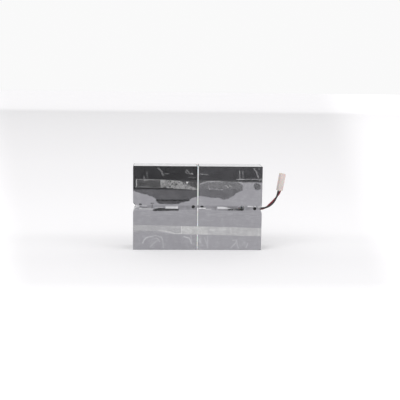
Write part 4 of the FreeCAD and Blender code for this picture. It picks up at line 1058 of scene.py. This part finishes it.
def splice_paint(band, x, z, start):
    """Haze, crease highlights and painted shade of a tape's overlapped end."""
    crease, shade = np.zeros(x.shape), np.zeros(x.shape)
    if band == "lower":
        haze = 0.57 + 0.10 * rough_noise(x, z, 10.0, 753) + 0.14 * smooth(x, -10.0, 4.0)
        # Painted highlight along the overlap's cut end
        cut_end = [(start + 0.6, 60.0), (start + 0.6, 36.0)]
        crease = np.maximum(0.10 * smooth(rough_noise(x, z, 8.0, 754), 0.2, 0.5),
                            0.4 * stroke(x, z, cut_end, 0.8))
        return layers_of(haze, crease, shade)
    haze = 0.04 + (0.33 + 0.20 * rough_noise(x, z, 5.5, 755)) * patch(
        x, z, UPPER_TAPE_WHITE, 0.9, 1.2, 6.0, 756)
    # Clear bubbles, darkened by painted shade
    for i, (bx, bz, r) in enumerate(DARK_BUBBLES):
        off = np.hypot(x - bx, (z - bz) * 1.2) + 1.0 * rough_noise(x, z, 3.0, 760 + i)
        clear = smooth(r + 0.6 - off, 0.0, 1.0)
        haze = blend_to(haze, 0.05, 0.95 * clear)
        shade = np.maximum(shade, 0.30 * clear)
    for bx, bz, r, strength in BUBBLE_GLINTS:
        crease = np.maximum(crease, strength * spot(x, z, bx, bz, r))
    return layers_of(haze, crease, shade)


def tape_splice(band, start, end):
    """The overlapped end of a tape band on the front, with air trapped under it."""
    middle, slope = TAPES[band]
    tilt, half = SPLICE_TILTS[band], (end - start) / 2
    x, across = grid(np.linspace(start, end, int((end - start) / SPLICE_STEP)),
                     np.linspace(-TAPE_WIDTH / 2 + 0.8, TAPE_WIDTH / 2 - 0.4, SPLICE_ROWS))
    z = middle + (slope - tilt) * x + tilt * start + across
    near_end = smooth(np.abs(x - (start + end) / 2), half - 2.0, half)
    x = x + 0.35 * lattice_noise(z, z * 0, 5.0, 751) * near_end
    y = -FILM_HALF_DEPTH - SPLICE_STAND + 0.06 * lattice_noise(x, z, 8.0, 752)
    return sheet_piece(band + "_tape_splice", grid_points(x, y, z), grid_quads(*x.shape),
                       splice_paint(band, x, z, start), "tape", [])


# Places of the number sockets in a Random Value node
RANDOM_LEAST, RANDOM_MOST, RANDOM_RESULT = 2, 3, 1


def bubble_nodes():
    """Geometry Nodes that scatter flat bubbles over a sheet."""
    tree = bpy.data.node_groups.new("trapped_bubbles", "GeometryNodeTree")
    for label, kind in (("Sheet", "Geometry"), ("Density", "Float"), ("Smallest", "Float"),
                        ("Largest", "Float"), ("Seed", "Int"), ("Finish", "Material")):
        tree.interface.new_socket(label, in_out="INPUT", socket_type="NodeSocket" + kind)
    tree.interface.new_socket("Bubbles", in_out="OUTPUT", socket_type="NodeSocketGeometry")
    given = add_node(tree, "NodeGroupInput").outputs
    spread = add_node(tree, "GeometryNodeDistributePointsOnFaces", distribute_method="POISSON")
    feed(spread, {"Mesh": given["Sheet"], "Distance Min": given["Largest"],
                  "Density Max": given["Density"], "Seed": given["Seed"]})
    dome = add_node(tree, "GeometryNodeMeshUVSphere",
                    {"Segments": 12, "Rings": 6, "Radius": 1.0})
    width = add_node(tree, "FunctionNodeRandomValue",
                     {RANDOM_LEAST: given["Smallest"], RANDOM_MOST: given["Largest"],
                      "Seed": given["Seed"]}, data_type="FLOAT").outputs[RANDOM_RESULT]
    slim = add_node(tree, "ShaderNodeCombineXYZ",
                    {"X": width, "Y": times(width, 0.7), "Z": 0.00004})
    placed = add_node(tree, "GeometryNodeInstanceOnPoints",
                      {"Points": spread.outputs["Points"], "Instance": dome.outputs["Mesh"],
                       "Rotation": spread.outputs["Rotation"],
                       "Scale": slim.outputs["Vector"]})
    real = add_node(tree, "GeometryNodeRealizeInstances",
                    {"Geometry": placed.outputs["Instances"]})
    finish = add_node(tree, "GeometryNodeSetMaterial",
                      {"Geometry": real.outputs["Geometry"], "Material": given["Finish"]})
    add_node(tree, "NodeGroupOutput", {"Bubbles": finish.outputs["Geometry"]})
    return tree


def trapped_bubbles(name, sheet, largest, seed):
    """Small flat bubbles under a splice, on the sheet's own surface."""
    carrier = new_object(name + "_sheet", sheet.data.copy())
    modifier = carrier.modifiers.new("bubbles", "NODES")
    modifier.node_group = BUBBLE_NODES
    sockets = {item.name: item.identifier for item in BUBBLE_NODES.interface.items_tree
               if item.in_out == "INPUT"}
    for label, value in (("Density", BUBBLE_DENSITY), ("Smallest", SMALLEST_BUBBLE),
                         ("Largest", largest), ("Seed", seed), ("Finish", FINISHES["bubble"])):
        modifier[sockets[label]] = value
    graph = bpy.context.evaluated_depsgraph_get()
    mesh = bpy.data.meshes.new_from_object(carrier.evaluated_get(graph))
    bpy.data.objects.remove(carrier)
    mesh.name = name
    mesh.shade_smooth()
    piece = new_object(name, mesh)
    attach(piece, BODY)


BUBBLE_NODES = bubble_nodes()
tape_band("lower", "tape_lower")
tape_band("upper", "tape_upper")
trapped_bubbles("lower_tape_bubbles", tape_splice("lower", -38.9, 24.2), 0.0009, 7)
trapped_bubbles("upper_tape_bubbles", tape_splice("upper", -88.6, -2.3), 0.0013, 8)


# Light and floor

# Extra light of the floor for the camera: metres behind the cartridge and level
FLOOR_NEAR, FLOOR_FAR = -0.6, 12.0
FLOOR_GLOW = [(-0.60, 0.32), (-0.46, 0.30), (-0.38, 0.135), (-0.14, 0.128), (0.03, 0.160),
              (0.11, 0.160), (0.21, 0.215), (0.63, 0.232), (1.96, 0.250), (8.8, 0.168),
              (9.8, 0.30), (12.0, 0.32)]
FLOOR_REACH = 30.0
# How far in front of the cartridge the edges of the glow at the sides meet
SIDE_GLOW_START = 2.2
PACK_MIDDLE = (0.0, 0.0, 0.1)


def add_floor():
    """A pale floor that keeps the cartridge's shadow and is lit up for the camera alone."""
    mesh = bpy.data.meshes.new("floor")
    corners = [(x * FLOOR_REACH, y * FLOOR_REACH, 0)
               for x, y in ((-1, -1), (1, -1), (1, 1), (-1, 1))]
    mesh.from_pydata(corners, [], [(0, 1, 2, 3)])
    material, shader, place = new_material("pale_floor", Roughness=0.9)
    tree = material.node_tree
    parts = add_node(tree, "ShaderNodeSeparateXYZ", {"Vector": place}).outputs
    length = FLOOR_FAR - FLOOR_NEAR
    glow = add_node(tree, "ShaderNodeValToRGB",
                    {"Fac": over(minus(parts["Y"], FLOOR_NEAR), length)})
    stops = glow.color_ramp.elements
    for i, (distance, level) in enumerate(FLOOR_GLOW):
        ends = {0: stops[0], len(FLOOR_GLOW) - 1: stops[-1]}
        stop = ends.get(i) or stops.new((distance - FLOOR_NEAR) / length)
        stop.color = (level, level, level, 1.0)
    spread = over(absolute(parts["X"]), larger(plus(parts["Y"], SIDE_GLOW_START), 0.1))
    level = plus(glow.outputs["Color"], ramp(spread, 0.18, 0.25, 0.0, 0.2))
    camera_ray = add_node(tree, "ShaderNodeLightPath").outputs["Is Camera Ray"]
    feed(shader, {"Base Color": (0.80, 0.795, 0.805, 1), "Emission Strength": 1.0,
                  "Emission Color": colour_mix(times(camera_ray, level), BLACK,
                                               (1.0, 0.982, 1.005, 1.0))})
    mesh.materials.append(material)
    new_object("floor", mesh)


def add_area_light(name, place, size, power):
    """A soft studio lamp that points at the cartridge."""
    data = bpy.data.lights.new(name, "AREA")
    data.shape = "SQUARE"
    data.size = size
    data.energy = power
    lamp = new_object(name, data)
    lamp.location = place
    lamp.rotation_mode = "QUATERNION"
    towards = Vector(PACK_MIDDLE) - Vector(place)
    lamp.rotation_quaternion = towards.to_track_quat("-Z", "Y")


def add_world():
    """Even pale light from all round, and plain white where it is seen or mirrored."""
    world = bpy.data.worlds.new("studio")
    world.use_nodes = True
    tree = world.node_tree
    tree.nodes.clear()
    light, seen = (add_node(tree, "ShaderNodeBackground", {"Color": WHITE, "Strength": strength})
                   for strength in (0.75, 0.95))
    path = add_node(tree, "ShaderNodeLightPath").outputs
    share = larger(larger(path["Is Camera Ray"], path["Is Glossy Ray"]),
                   path["Is Transmission Ray"])
    mixed = add_node(tree, "ShaderNodeMixShader",
                     {0: share, 1: light.outputs[0], 2: seen.outputs[0]})
    add_node(tree, "ShaderNodeOutputWorld", {"Surface": mixed.outputs[0]})
    bpy.context.scene.world = world


add_floor()
add_world()
add_area_light("key", (-1.1, -1.3, 1.7), 1.2, 12.0)
add_area_light("front", (-0.4, -2.1, 0.55), 0.7, 3.0)
add_area_light("fill", (1.5, -0.6, 1.2), 1.2, 6.0)

bpy.context.scene.view_settings.view_transform = "Standard"
